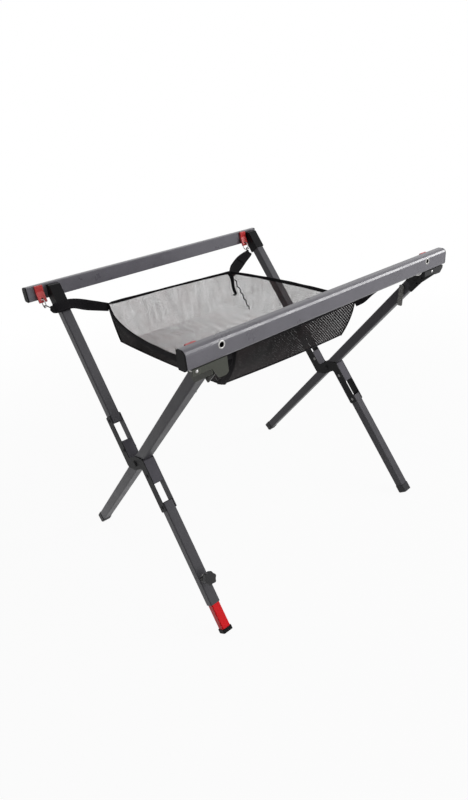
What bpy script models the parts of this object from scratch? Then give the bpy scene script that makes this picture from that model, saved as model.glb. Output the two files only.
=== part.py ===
import math
import bmesh
import bpy
from mathutils import Matrix, Vector

# Folding camping table stand in metres: +X along the rails, +Y to the rear rail, +Z up, floor at z = 0.

for old in list(bpy.data.objects):
    bpy.data.objects.remove(old)

# Clearances between neighbours
GAP = 0.0003
LOOSE = 0.0008

# Rails
RAIL_LENGTH = 0.740
RAIL_Y = 0.3253
RAIL_Z = 0.7065
RAIL_DEPTH = 0.022
RAIL_HEIGHT = 0.036
RAIL_WALL = 0.0018
RAIL_TOP_ROUND = 0.010
RAIL_FOOT_ROUND = 0.006
RAIL_INNER_ROUND = 0.002
RAIL_HOLE = 0.005
RAIL_HOLE_INSET = 0.072
RAIL_HOLE_RISE = 0.0055
CAP_FLANGE = 0.003
CAP_PLUG = 0.012
CAP_EDGE = 0.0008

# Legs: rear_leg runs from the rear rail to the front foot, front_leg from the front rail to the rear foot
LEG_TUBE = 0.025
LEG_WALL = 0.0015
LEG_ROUND = 0.003
LEG_OFFSET = 0.0341
SPLAY = math.radians(1.87)
PIVOT_Y = 0.0061
PIVOT_Z = 0.3405
NEAR_INSET = 0.0515
FAR_INSET = 0.0115
NEAR_X = -RAIL_LENGTH / 2 + NEAR_INSET
FAR_X = RAIL_LENGTH / 2 - FAR_INSET
MIDDLE_X = -0.00506
HALF_START = 0.110

# Each leg aims at a point beside its rail, given from the rail's centre
REAR_AIM = (-0.0222, -0.0009)
FRONT_AIM = (0.0007, -0.0009)
REAR_RUN = RAIL_Y + REAR_AIM[0] - PIVOT_Y
FRONT_RUN = RAIL_Y + FRONT_AIM[0] + PIVOT_Y
REAR_RISE = RAIL_Z + REAR_AIM[1] - PIVOT_Z
FRONT_RISE = RAIL_Z + FRONT_AIM[1] - PIVOT_Z
REAR_REACH = math.sqrt(REAR_RUN ** 2 + REAR_RISE ** 2 - LEG_OFFSET ** 2)
FRONT_REACH = math.hypot(FRONT_RUN, FRONT_RISE)
REAR_LEG_ANGLE = math.atan2(REAR_RISE, REAR_RUN) + math.atan2(LEG_OFFSET, REAR_REACH)
FRONT_LEG_ANGLE = math.pi - math.atan2(FRONT_RISE, FRONT_RUN)
REAR_LEG_SHORT = 0.0044
FRONT_LEG_SHORT = 0.0386
REAR_LEG_TOP = REAR_REACH - REAR_LEG_SHORT
FRONT_LEG_TOP = FRONT_REACH - FRONT_LEG_SHORT
SOLE_TRIM = 0.0024
FLOOR_TOOL = 0.1
FOOT_SPREAD = 0.011
REAR_LEG_FOOT_Y = 0.26
FRONT_LEG_FOOT_Y = 0.30
FOOT_CAP_WALL = 0.001
FOOT_CAP_DEPTH = 0.019
FOOT_CAP_END = 0.003

# Pull-out foot and its clamp
SLEEVE_END = -0.365
PULL_TUBE = LEG_TUBE - 2 * LEG_WALL - 2 * GAP
PULL_WALL = 0.0016
PULL_HIDDEN = 0.115
PULL_CAP = 0.025
PULL_CAP_DEPTH = 0.006
KNOB_AT = -0.303
STUD_RADIUS = 0.003
STUD_HOLE = STUD_RADIUS + 0.0004
WASHER_RADIUS = 0.0095
WASHER_THICK = 0.0015
COLLAR_RADIUS = 0.0075
COLLAR_HEIGHT = 0.018
GRIP_RADIUS = 0.0140
GRIP_LOBE = 0.0012
GRIP_LOBES = 6
GRIP_HEIGHT = 0.013
GRIP_EDGE = 0.0012

# Hub
PLATE_FACE = 0.0130
PLATE_THICK = 0.002
HUB_OUTLINE = ((0.130, -0.0466), (0.130, -0.0216), (0.018, -0.0216), (0.0155, 0.014), (0, 0.0466),
               (-0.130, 0.0466), (-0.130, 0.0216), (-0.018, 0.0216), (-0.0155, -0.014), (0, -0.0466))
HUB_ROUNDS = (0.003, 0.003, 0.005, 0.012, 0.009, 0.003, 0.003, 0.005, 0.012, 0.009)
HUB_RIVETS = ((0.0398, -0.027), (-0.0389, 0.0336), (-0.1189, 0.0359), (0.119, -0.034))
RIVET_RADIUS = 0.0042
RIVET_TIP = 0.0025
RIVET_HEIGHT = 0.0016
RIVET_SINK = 0.0006
BLOCK_LENGTH = 0.062
OPEN_ANGLE = FRONT_LEG_ANGLE - REAR_LEG_ANGLE
BLOCK_SLANT = [(out * math.cos(OPEN_ANGLE) - LEG_TUBE / 2 - GAP) / math.sin(OPEN_ANGLE)
               for out in (LEG_OFFSET - LEG_TUBE / 2, LEG_OFFSET + LEG_TUBE / 2)]
BLOCK_OUTLINE = ((BLOCK_SLANT[0], LEG_OFFSET - LEG_TUBE / 2), (BLOCK_SLANT[1], LEG_OFFSET + LEG_TUBE / 2),
                 (-BLOCK_LENGTH, LEG_OFFSET + LEG_TUBE / 2), (-BLOCK_LENGTH, LEG_OFFSET - LEG_TUBE / 2))
BLOCK_ROUND = 0.0015
BLOCK_HALF = PLATE_FACE - GAP
BOLT_RADIUS = 0.004
BOLT_HOLE = BOLT_RADIUS + GAP
BOLT_HEAD = 0.0075
BOLT_HEAD_HEIGHT = 0.003
BOLT_HEAD_FROM = PLATE_FACE + PLATE_THICK + 0.0006

# Rear brackets: housings over the leg tops
HOUSING_HALF = 0.0142
HOUSING_BACK = -LEG_OFFSET - LEG_TUBE / 2 - 0.0048
HOUSING_FRONT = -LEG_OFFSET + LEG_TUBE / 2 + 0.0020
HOUSING_LENGTH = 0.0444
HOUSING_START = REAR_REACH - HOUSING_LENGTH
HOUSING_RISE = 0.0141
HOUSING_ROUND = 0.002
HOUSING_EDGE = 0.001

# Front brackets: folded sheet
SHEET = 0.002
FLANGE_OUT = 0.053
FLANGE_IN = 0.0195
FLANGE_STRIP = 0.0115
FLANGE_END = 0.0125
FLANGE_ROUND = 0.0015
FLANGE_DEPTH = 0.0342
FAR_FLANGE_DEPTH = 0.0195
FAR_FLANGE_END = 0.0075
FLANGE_Y = RAIL_Y + 0.0092
SHELF_TOP = RAIL_Z - RAIL_HEIGHT / 2 - GAP
SHELF_IN = RAIL_Y - RAIL_DEPTH / 2 + 0.0006
CHEEK_LENGTH = 0.0836
CHEEK_START = FRONT_REACH - CHEEK_LENGTH
CHEEK_HALF = LEG_TUBE / 2 + 0.0005
CHEEK_IN = 0.0268
CHEEK_SINK = SHEET / 2
CHEEK_ROUND = 0.002
STAY_TOP = (0.1026, -0.010)
STAY_FOOT = (0.1456, 0.022)
STAY_LINE = ((FRONT_REACH - STAY_TOP[0], STAY_TOP[1]), (FRONT_REACH - STAY_FOOT[0], STAY_FOOT[1]))
NEAR_STAY_FOOT = 0.006
NEAR_STAY_LINE = (STAY_LINE[0], (STAY_LINE[1][0], NEAR_STAY_FOOT))
STAY_WIDTH = 0.013
STAY_ROUND = 0.003
STAY_RIVETS = (0.22, 0.70)
STAY_RIVET = 0.0035
STAY_RIVET_TIP = 0.0022
STRIP_TOP = (0.0316, 0.0145)
STRIP_FOOT = (0.0936, 0.0130)
STRIP_LINE = ((FRONT_REACH - STRIP_TOP[0], STRIP_TOP[1]), (FRONT_REACH - STRIP_FOOT[0], STRIP_FOOT[1]))
STRIP_WIDTH = 0.0130
STRIP_HOLE = 0.0026
STRIP_HOLES = (0.24, 0.55)

# Clips, rings, hooks
CLIP_WIDTH = 0.020
NEAR_CLIP_X = -RAIL_LENGTH / 2 + 0.028
FAR_CLIP_X = RAIL_LENGTH / 2 - 0.052
CLIP_OUTLINE = ((GAP, 0.0175), (0.0063, 0.0175), (0.0063, 0.0022), (0.0160, -0.0218), (0.0104, -0.0240),
                (GAP, 0.0010))
CLIP_ROUNDS = (0.0005, 0.002, 0.008, 0.002, 0.002, 0.008)
CLIP_EDGE = 0.0012
CLIP_HOLE = 0.0039
CLIP_HOLE_AT = (0.0098, -0.0145)
CLIP_LEAN = math.radians(22)
RING_RADIUS = 0.011
WIRE = 0.0014
HOOK_BEND = 0.0038
HOOK_AT = math.radians(-42)

# Straps and basket
NEAR_HOOK_REACH = (0.007, 0.0214, -0.0098)
FAR_HOOK_REACH = (0.012, 0.0214, -0.0128)
SLIP = 0.002
STRAP_THICK = 0.0016
STRAP_END_THICK = 0.0060
STRAP_END_WIDTH = 0.011
STRAP_WIDTH = 0.026
STRAP_RIM_WIDTH = 0.021
STRAP_SOCKET = 0.005
STRAP_RIM_GAP = 0.0006
STRAP_END_RUN = 0.010
PASS_HALF = 0.0185
REAR_PASS = (REAR_REACH - 0.0504, HOUSING_FRONT + STRAP_THICK / 2 + 0.0012)
FRONT_PASS = (FRONT_REACH - 0.0696, -CHEEK_HALF - STRAP_THICK / 2 - 0.0014)
NEAR_LEAD = ((-0.050, -0.0015, 0.0085),)
NEAR_FRONT_LEAD = ((-0.046, -0.018, 0.004),)
FAR_REAR_LEAD = ((0.065, 0.018, 0.019), (0.030, 0.0085, 0.003))
FAR_REAR_TWIST = ((0, 0.80, 0.60), (0, 0.80, 0.60), (0, 0.70, 0.71))
FAR_REAR_WIDTH = 0.032
FAR_FRONT_LEAD = ((0.065, -0.048, 0.026), (0.030, -0.022, 0.008))
FAR_FRONT_TWIST = ((0.45, 0.64, -0.35), (0.45, 0.64, -0.35), (0.40, 0.56, 0.10))
RIM_INSET_X = 0.170
RIM_INSET_Y = 0.0703
RIM_DROP = 0.0655
RIM_X = RAIL_LENGTH / 2 - RIM_INSET_X
RIM_Y = RAIL_Y - RIM_INSET_Y
RIM_Z = RAIL_Z - RIM_DROP
RIM = ((0.005 - RIM_X, RIM_Y + 0.003, RIM_Z + 0.008), (0.001 - RIM_X, 0.020 - RIM_Y, RIM_Z + 0.007),
       (RIM_X + 0.005, 0.047 - RIM_Y, RIM_Z - 0.011), (RIM_X + 0.005, RIM_Y - 0.005, RIM_Z - 0.006))
RIM_SAG = (0.080, 0.013, 0.0, -0.002)
RIM_SQUARE = (0.4, 1, 1, 1)
RIM_BOW = (0.010, 0.014, -0.016, 0.004)
BASKET_DEPTH = 0.108
FLOOR_Z = RIM_Z - BASKET_DEPTH
FLOOR = ((0.014 - RIM_X, RIM_Y - 0.009, FLOOR_Z + 0.010), (0.035 - RIM_X, 0.113 - RIM_Y, FLOOR_Z - 0.004),
         (RIM_X + 0.003, 0.087 - RIM_Y, FLOOR_Z - 0.002), (RIM_X, RIM_Y - 0.019, FLOOR_Z + 0.001))
FLOOR_DIP = 0.010
WALL_STEPS = ((0, 0), (0.25, 0.12), (0.55, 0.38), (0.82, 0.72), (0.96, 0.93), (1, 1))
FLOOR_STEPS = (0.90, 0.62, 0.30)
SIDE_STEPS = 10
CLOTH = 0.0022

ALONG_LEG = Matrix(((0, 1, 0, 0), (0, 0, 1, 0), (1, 0, 0, 0), (0, 0, 0, 1)))
SIDEWAYS = Matrix(((0, 0, 1, 0), (1, 0, 0, 0), (0, 1, 0, 0), (0, 0, 0, 1)))
UPWARD = Matrix.Identity(4)


def collection(name):
    made = bpy.data.collections.new(name)
    bpy.context.scene.collection.children.link(made)
    return made


pieces = collection("camping table")
tools = collection("cutters")


def material(name, colour, metallic, roughness):
    made = bpy.data.materials.new(name)
    made.use_nodes = True
    shader = made.node_tree.nodes["Principled BSDF"]
    shader.inputs["Base Color"].default_value = (*colour, 1)
    shader.inputs["Metallic"].default_value = metallic
    shader.inputs["Roughness"].default_value = roughness
    return made


grey_paint = material("grey paint", (0.115, 0.11, 0.13), 0.3, 0.45)
black_steel = material("black steel", (0.015, 0.015, 0.017), 0.2, 0.5)
bare_steel = material("bare steel", (0.55, 0.54, 0.52), 1.0, 0.35)
dull_steel = material("dull steel", (0.16, 0.165, 0.15), 0.6, 0.5)
black_plastic = material("black plastic", (0.012, 0.012, 0.013), 0.0, 0.5)
red_plastic = material("red plastic", (0.62, 0.03, 0.03), 0.0, 0.4)
red_paint = material("red paint", (0.60, 0.01, 0.012), 0.1, 0.4)
webbing = material("webbing", (0.012, 0.011, 0.013), 0.0, 0.9)
netting = material("netting", (0.10, 0.095, 0.095), 0.0, 0.9)


def frame(name, parent=None, location=(0, 0, 0), rotation=(0, 0, 0)):
    made = bpy.data.objects.new(name, None)
    pieces.objects.link(made)
    made.parent = parent
    made.location = location
    made.rotation_euler = rotation
    return made


def piece(name, mesh, finish, parent, location=(0, 0, 0)):
    mesh.name = name
    mesh.materials.append(finish)
    made = bpy.data.objects.new(name, mesh)
    pieces.objects.link(made)
    made.parent = parent
    made.location = location
    return made


def tool(name, mesh, parent, location=(0, 0, 0)):
    made = bpy.data.objects.new(name, mesh)
    tools.objects.link(made)
    made.parent = parent
    made.location = location
    made.hide_render = True
    made.display_type = "WIRE"
    return made


def combine(target, other, operation="DIFFERENCE"):
    step = target.modifiers.new(other.name, "BOOLEAN")
    step.operation = operation
    step.solver = "EXACT"
    step.object = other


def soften(target, width, segments=2):
    step = target.modifiers.new("edges", "BEVEL")
    step.width = width
    step.segments = segments
    step.limit_method = "ANGLE"
    step.angle_limit = math.radians(50)


def rounded(corners, radii, steps=3):
    """closed polygon whose corners are replaced by arcs of the given radii"""
    if not hasattr(radii, "__len__"):
        radii = [radii] * len(corners)
    points = []
    count = len(corners)
    for index, radius in enumerate(radii):
        here = Vector(corners[index])
        before = (Vector(corners[index - 1]) - here).normalized()
        after = (Vector(corners[(index + 1) % count]) - here).normalized()
        half = before.angle(after) / 2
        centre = here + (before + after).normalized() * (radius / math.sin(half))
        start = here + before * (radius / math.tan(half)) - centre
        end = here + after * (radius / math.tan(half)) - centre
        for step in range(steps + 1):
            share = step / steps
            spoke = (start * (1 - share) + end * share).normalized() * radius
            points.append(tuple(centre + spoke))
    return points


def box_outline(half_u, half_v, centre_u=0.0, centre_v=0.0):
    return ((centre_u - half_u, centre_v - half_v), (centre_u + half_u, centre_v - half_v),
            (centre_u + half_u, centre_v + half_v), (centre_u - half_u, centre_v + half_v))


def finished(mesh, turn):
    mesh.transform(turn)
    work = bmesh.new()
    work.from_mesh(mesh)
    bmesh.ops.remove_doubles(work, verts=work.verts, dist=1e-6)
    bmesh.ops.recalc_face_normals(work, faces=work.faces)
    work.to_mesh(mesh)
    work.free()
    return mesh


def prism(loops, low, high, turn):
    """flat closed outlines pushed from low to high along the third direction of the turn"""
    curve = bpy.data.curves.new("outline", "CURVE")
    curve.dimensions = "2D"
    curve.fill_mode = "BOTH"
    curve.render_resolution_u = 0
    curve.extrude = (high - low) / 2
    for loop in loops:
        spline = curve.splines.new("POLY")
        spline.points.add(len(loop) - 1)
        spline.use_cyclic_u = True
        for point, (u, v) in zip(spline.points, loop):
            point.co = (u, v, 0, 1)
    holder = bpy.data.objects.new("outline", curve)
    mesh = bpy.data.meshes.new_from_object(holder)
    bpy.data.objects.remove(holder)
    bpy.data.curves.remove(curve)
    return finished(mesh, turn @ Matrix.Translation((0, 0, (high + low) / 2)))


def rod(radius, low, high, turn=UPWARD, centre=(0, 0), sides=24, tip=None):
    work = bmesh.new()
    bmesh.ops.create_cone(work, cap_ends=True, segments=sides, radius1=radius,
                          radius2=radius if tip is None else tip, depth=high - low)
    mesh = bpy.data.meshes.new("rod")
    work.to_mesh(mesh)
    work.free()
    mesh.transform(turn @ Matrix.Translation((*centre, (high + low) / 2)))
    return mesh


def gathered(meshes):
    work = bmesh.new()
    for mesh in meshes:
        work.from_mesh(mesh)
        bpy.data.meshes.remove(mesh)
    mesh = bpy.data.meshes.new("group")
    work.to_mesh(mesh)
    work.free()
    return mesh


def wire(points, radius, closed=False):
    """round wire along the points"""
    curve = bpy.data.curves.new("wire", "CURVE")
    curve.dimensions = "3D"
    curve.bevel_depth = radius
    curve.bevel_resolution = 2
    curve.use_fill_caps = True
    curve.render_resolution_u = 0
    spline = curve.splines.new("POLY")
    spline.points.add(len(points) - 1)
    spline.use_cyclic_u = closed
    for point, place in zip(spline.points, points):
        point.co = (*place, 1)
    holder = bpy.data.objects.new("wire", curve)
    mesh = bpy.data.meshes.new_from_object(holder)
    bpy.data.objects.remove(holder)
    bpy.data.curves.remove(curve)
    return finished(mesh, UPWARD)


def tube(size, wall, low, high, centre=0.0):
    half = size / 2
    outer = rounded(box_outline(half, half, centre), LEG_ROUND)
    inner = rounded(box_outline(half - wall, half - wall, centre), LEG_ROUND - wall, 2)
    return prism((outer, inner), low, high, ALONG_LEG)


stand = frame("stand", None, (MIDDLE_X, 0, 0))
fold = frame("fold_axis", stand, (0, PIVOT_Y, PIVOT_Z))


def rail_outline(side, inset):
    half_y, half_z = RAIL_DEPTH / 2 - inset, RAIL_HEIGHT / 2 - inset
    rounds = [max(size - inset, 0.0005) for size in
              (RAIL_INNER_ROUND, RAIL_FOOT_ROUND, RAIL_TOP_ROUND, RAIL_INNER_ROUND)]
    points = rounded(box_outline(half_y, half_z), rounds, 4)
    return [(side * y, z) for y, z in points]


def rail(name, side, parent, origin):
    centre = Vector((0, side * RAIL_Y, RAIL_Z)) - origin
    made = piece(name, prism((rail_outline(side, 0), rail_outline(side, RAIL_WALL)),
                             -RAIL_LENGTH / 2, RAIL_LENGTH / 2, SIDEWAYS), grey_paint, parent, centre)
    facing = Matrix.Rotation(-side * math.pi / 2, 4, "X")
    hole_x = RAIL_LENGTH / 2 - RAIL_HOLE_INSET
    drills = gathered([rod(RAIL_HOLE, RAIL_DEPTH / 4, RAIL_DEPTH,
                           Matrix.Translation((x, 0, RAIL_HOLE_RISE)) @ facing) for x in (-hole_x, hole_x)])
    combine(made, tool(name + "_drills", drills, parent, centre))
    for end, label in ((-1, "near"), (1, "far")):
        start = end * (RAIL_LENGTH / 2 + GAP)
        span = sorted((start, start + end * CAP_FLANGE))
        cap = piece(name.replace("rail", label + "_cap"), prism((rail_outline(side, 0),), *span, SIDEWAYS),
                    black_plastic, parent, centre)
        soften(cap, CAP_EDGE)
        span = sorted((start + end * CAP_FLANGE / 2, start - end * CAP_PLUG))
        plug = prism((rail_outline(side, RAIL_WALL + GAP),), *span, SIDEWAYS)
        combine(cap, tool(cap.name + "_plug", plug, parent, centre), "UNION")
    return made


rail("rear_rail", 1, stand, Vector((0, 0, 0)))
rail("front_rail", -1, fold, Vector((0, PIVOT_Y, PIVOT_Z)))


def foot_reach(angle, lowest):
    """distance along the leg at which its lowest edge passes SOLE_TRIM below the floor"""
    return (PIVOT_Z / math.cos(SPLAY) + math.cos(angle) * lowest + SOLE_TRIM) / math.sin(angle)


def floor_tool(name, x, y):
    slab = bpy.data.meshes.new("floor")
    work = bmesh.new()
    bmesh.ops.create_cube(work, size=FLOOR_TOOL)
    work.to_mesh(slab)
    work.free()
    return tool(name, slab, None, (MIDDLE_X + x, y, -FLOOR_TOOL / 2))


def foot_cap(name, leg, angle, centre, floor_at):
    half = LEG_TUBE / 2 + GAP + FOOT_CAP_WALL
    end = -foot_reach(angle, centre - half if centre else half)
    cap = piece(name, prism((rounded(box_outline(half, half, centre), LEG_ROUND + 0.001),),
                            end, end + FOOT_CAP_END + FOOT_CAP_DEPTH, ALONG_LEG), black_plastic, leg)
    hollow = LEG_TUBE / 2 + GAP
    bore = prism((rounded(box_outline(hollow, hollow, centre), LEG_ROUND),),
                 end + FOOT_CAP_END, end + FOOT_CAP_END + 2 * FOOT_CAP_DEPTH, ALONG_LEG)
    combine(cap, tool(name + "_bore", bore, leg))
    combine(cap, floor_tool(name + "_floor", *floor_at))
    return end + FOOT_CAP_END + GAP


def on_leg(plane_x, side, angle, along, out, sideways=0.0):
    """stand coordinates of a point given by its place in the frame of a leg"""
    point = Matrix.Rotation(angle, 4, "X") @ Vector((sideways, along, out))
    point = Matrix.Rotation(-side * SPLAY, 4, "Y") @ point
    return point + Vector((plane_x, PIVOT_Y, PIVOT_Z))


def beside(angle, along, out):
    """(y, z) from the pivot of a point in the frame of a leg"""
    return (along * math.cos(angle) - out * math.sin(angle), along * math.sin(angle) + out * math.cos(angle))


def front_bracket(label, side, plane_x, splayed):
    middle = on_leg(plane_x, side, FRONT_LEG_ANGLE, FRONT_LEG_TOP, 0).x
    start, end = middle - FLANGE_OUT, middle + FLANGE_IN
    depth, rise = (FLANGE_DEPTH, FLANGE_END) if side < 0 else (FAR_FLANGE_DEPTH, FAR_FLANGE_END)
    foot = SHELF_TOP - depth + rise
    low = SHELF_TOP - depth + SHEET
    strip = SHELF_TOP - FLANGE_STRIP
    corner = ((end, low + 0.004), (end - 0.006, low), (middle - 0.002, low)) if side < 0 else (
        (end, SHELF_TOP - 0.006), (middle + 0.010, low + 0.002), (middle - 0.010, low + 0.002))
    ledge = ((start, SHELF_TOP), (end, SHELF_TOP), *corner, (middle - 0.014, strip), (start, strip))
    upright = Matrix(((1, 0, 0, 0), (0, 0, -1, 0), (0, 1, 0, 0), (0, 0, 0, 1)))
    back = (0, -PIVOT_Y, -PIVOT_Z)
    made = piece(f"{label}_front_bracket", prism((rounded(ledge, FLANGE_ROUND),), FLANGE_Y - SHEET, FLANGE_Y,
                                                 upright), dull_steel, fold, back)
    shelf = box_outline((end - start) / 2, (FLANGE_Y - SHELF_IN) / 2,
                        (start + end) / 2, -(FLANGE_Y + SHELF_IN) / 2)
    shelf = prism((shelf,), SHELF_TOP - SHEET, SHELF_TOP, UPWARD)
    combine(made, tool(made.name + "_shelf", shelf, fold, back), "UNION")
    top = SHELF_TOP - CHEEK_SINK - PIVOT_Z
    wall = -FLANGE_Y + CHEEK_SINK - PIVOT_Y
    cheek = (beside(FRONT_LEG_ANGLE, CHEEK_START, -CHEEK_HALF),
             beside(FRONT_LEG_ANGLE, CHEEK_START, CHEEK_HALF),
             (wall, foot - PIVOT_Z), (wall, top), (CHEEK_IN - RAIL_Y - PIVOT_Y, top))
    near_face = LEG_TUBE / 2 + GAP
    sheets = gathered([prism((rounded(cheek, CHEEK_ROUND),), low, high, SIDEWAYS) for low, high in
                       ((-near_face - SHEET, -near_face), (near_face, near_face + SHEET))])
    combine(made, tool(made.name + "_cheeks", sheets, splayed), "UNION")
    return made


def bar_outline(line, width, end_round):
    start, end = Vector(line[0]), Vector(line[1])
    across = (end - start).normalized().orthogonal() * width / 2
    corners = (start + across, end + across, end - across, start - across)
    return rounded([tuple(corner) for corner in corners], end_round)


def side_frame(label, side, plane_x):
    """one scissor frame; side is the way to its outer face"""
    tilt = (0, -side * SPLAY, 0)
    rear_plane = frame(f"{label}_rear_plane", stand, (plane_x, PIVOT_Y, PIVOT_Z), tilt)
    front_plane = frame(f"{label}_front_plane", fold, (plane_x, 0, 0), tilt)
    rear_leg = frame(f"{label}_rear_leg_line", rear_plane, (0, 0, 0), (REAR_LEG_ANGLE, 0, 0))
    front_leg = frame(f"{label}_front_leg_line", front_plane, (0, 0, 0), (FRONT_LEG_ANGLE, 0, 0))

    piece(f"{label}_rear_leg_upper", tube(LEG_TUBE, LEG_WALL, HALF_START, REAR_LEG_TOP, -LEG_OFFSET),
          grey_paint, rear_leg)
    pull = side < 0
    if pull:
        lower_end = SLEEVE_END
    else:
        lower_end = foot_cap(f"{label}_rear_leg_cap", rear_leg, REAR_LEG_ANGLE, LEG_OFFSET,
                             (plane_x + side * FOOT_SPREAD, -REAR_LEG_FOOT_Y))
    lower = piece(f"{label}_rear_leg_lower", tube(LEG_TUBE, LEG_WALL, lower_end, -HALF_START, LEG_OFFSET),
                  grey_paint, rear_leg)

    cap_end = foot_cap(f"{label}_front_leg_cap", front_leg, FRONT_LEG_ANGLE, 0,
                       (plane_x + side * FOOT_SPREAD, FRONT_LEG_FOOT_Y))
    straight = piece(f"{label}_front_leg", tube(LEG_TUBE, LEG_WALL, cap_end, FRONT_LEG_TOP), grey_paint,
                     front_leg)
    through = rod(BOLT_HOLE, -LEG_TUBE, LEG_TUBE, Matrix.Rotation(math.pi / 2, 4, "Y"))
    drill = tool(f"{label}_pivot_drill", through, fold, (plane_x, 0, 0))
    combine(straight, drill)

    outline = rounded(HUB_OUTLINE, HUB_ROUNDS, 4)
    for way, which in ((side, "outer"), (-side, "inner")):
        face = way * PLATE_FACE
        back = way * (PLATE_FACE + PLATE_THICK)
        plate = piece(f"{label}_hub_plate_{which}", prism((outline,), *sorted((face, back)), SIDEWAYS),
                      black_steel, rear_leg)
        turn = Matrix.Rotation(way * math.pi / 2, 4, "Y")
        heads = gathered([rod(RIVET_RADIUS, 0, RIVET_SINK + RIVET_HEIGHT, Matrix.Translation(
            (back - way * RIVET_SINK, u, v)) @ turn, sides=12, tip=RIVET_TIP) for u, v in HUB_RIVETS])
        combine(plate, tool(plate.name + "_rivets", heads, rear_leg), "UNION")
        combine(plate, drill)

    for which, way in (("lower", 1), ("upper", -1)):
        shape = rounded([(way * u, way * v) for u, v in BLOCK_OUTLINE], BLOCK_ROUND)
        piece(f"{label}_hub_block_{which}", prism((shape,), -BLOCK_HALF, BLOCK_HALF, SIDEWAYS),
              black_plastic, rear_leg)

    turn = Matrix.Rotation(math.pi / 2, 4, "Y")
    reach = BOLT_HEAD_FROM + BOLT_HEAD_HEIGHT
    bolt = piece(f"{label}_pivot_bolt", rod(BOLT_RADIUS, -reach + 0.001, reach - 0.001, turn),
                 bare_steel, stand, (plane_x, PIVOT_Y, PIVOT_Z))
    heads = gathered([rod(BOLT_HEAD, BOLT_HEAD_FROM, reach, Matrix.Rotation(way * math.pi / 2, 4, "Y"),
                          tip=BOLT_HEAD * 0.75) for way in (-1, 1)])
    combine(bolt, tool(bolt.name + "_heads", heads, stand, bolt.location), "UNION")

    face_y = RAIL_Y - RAIL_DEPTH / 2 - GAP - PIVOT_Y
    top_z = RAIL_Z + HOUSING_RISE - PIVOT_Z
    back_end = (face_y + HOUSING_BACK * math.sin(REAR_LEG_ANGLE)) / math.cos(REAR_LEG_ANGLE)
    front_end = (top_z - HOUSING_FRONT * math.cos(REAR_LEG_ANGLE)) / math.sin(REAR_LEG_ANGLE)
    shape = ((face_y, top_z), beside(REAR_LEG_ANGLE, back_end, HOUSING_BACK),
             beside(REAR_LEG_ANGLE, HOUSING_START, HOUSING_BACK),
             beside(REAR_LEG_ANGLE, HOUSING_START, HOUSING_FRONT),
             beside(REAR_LEG_ANGLE, front_end, HOUSING_FRONT))
    body = prism((rounded(shape, HOUSING_ROUND),), -HOUSING_HALF, HOUSING_HALF, SIDEWAYS)
    housing = piece(f"{label}_rear_bracket", body, black_plastic, rear_plane)
    soften(housing, HOUSING_EDGE)
    hollow = LEG_TUBE / 2 + GAP
    pocket = prism((rounded(box_outline(hollow, hollow, -LEG_OFFSET), LEG_ROUND),),
                   HOUSING_START - HOUSING_HALF, REAR_LEG_TOP + LOOSE, ALONG_LEG)
    combine(housing, tool(housing.name + "_pocket", pocket, rear_leg))

    front_bracket(label, side, plane_x, front_plane)
    inward = -side
    face = inward * (LEG_TUBE / 2 + GAP)
    line = NEAR_STAY_LINE if side < 0 else STAY_LINE
    bar = prism((bar_outline(line, STAY_WIDTH, STAY_ROUND),), *sorted((face, face + inward * SHEET)),
                SIDEWAYS)
    stay = piece(f"{label}_leg_stay", bar, bare_steel, front_leg)
    turn = Matrix.Rotation(inward * math.pi / 2, 4, "Y")
    start, end = Vector(line[0]), Vector(line[1])
    ends = [start.lerp(end, share) for share in STAY_RIVETS]
    heads = gathered([rod(STAY_RIVET, 0, RIVET_SINK + RIVET_HEIGHT, Matrix.Translation(
        (face + inward * (SHEET - RIVET_SINK), u, v)) @ turn, sides=12, tip=STAY_RIVET_TIP) for u, v in ends])
    combine(stay, tool(stay.name + "_rivets", heads, front_leg), "UNION")

    face = inward * (LEG_TUBE / 2 + GAP + SHEET + GAP)
    strip = piece(f"{label}_leg_strip", prism((bar_outline(STRIP_LINE, STRIP_WIDTH, STAY_ROUND),),
                                              *sorted((face, face + inward * SHEET)), SIDEWAYS),
                  bare_steel, front_leg)
    start, end = Vector(STRIP_LINE[0]), Vector(STRIP_LINE[1])
    holes = gathered([rod(STRIP_HOLE, -LEG_TUBE, LEG_TUBE, SIDEWAYS, start.lerp(end, share), 16)
                      for share in STRIP_HOLES])
    combine(strip, tool(strip.name + "_holes", holes, front_leg))
    return rear_leg, lower


near_leg, sleeve = side_frame("near", -1, NEAR_X)
side_frame("far", 1, FAR_X)


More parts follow.
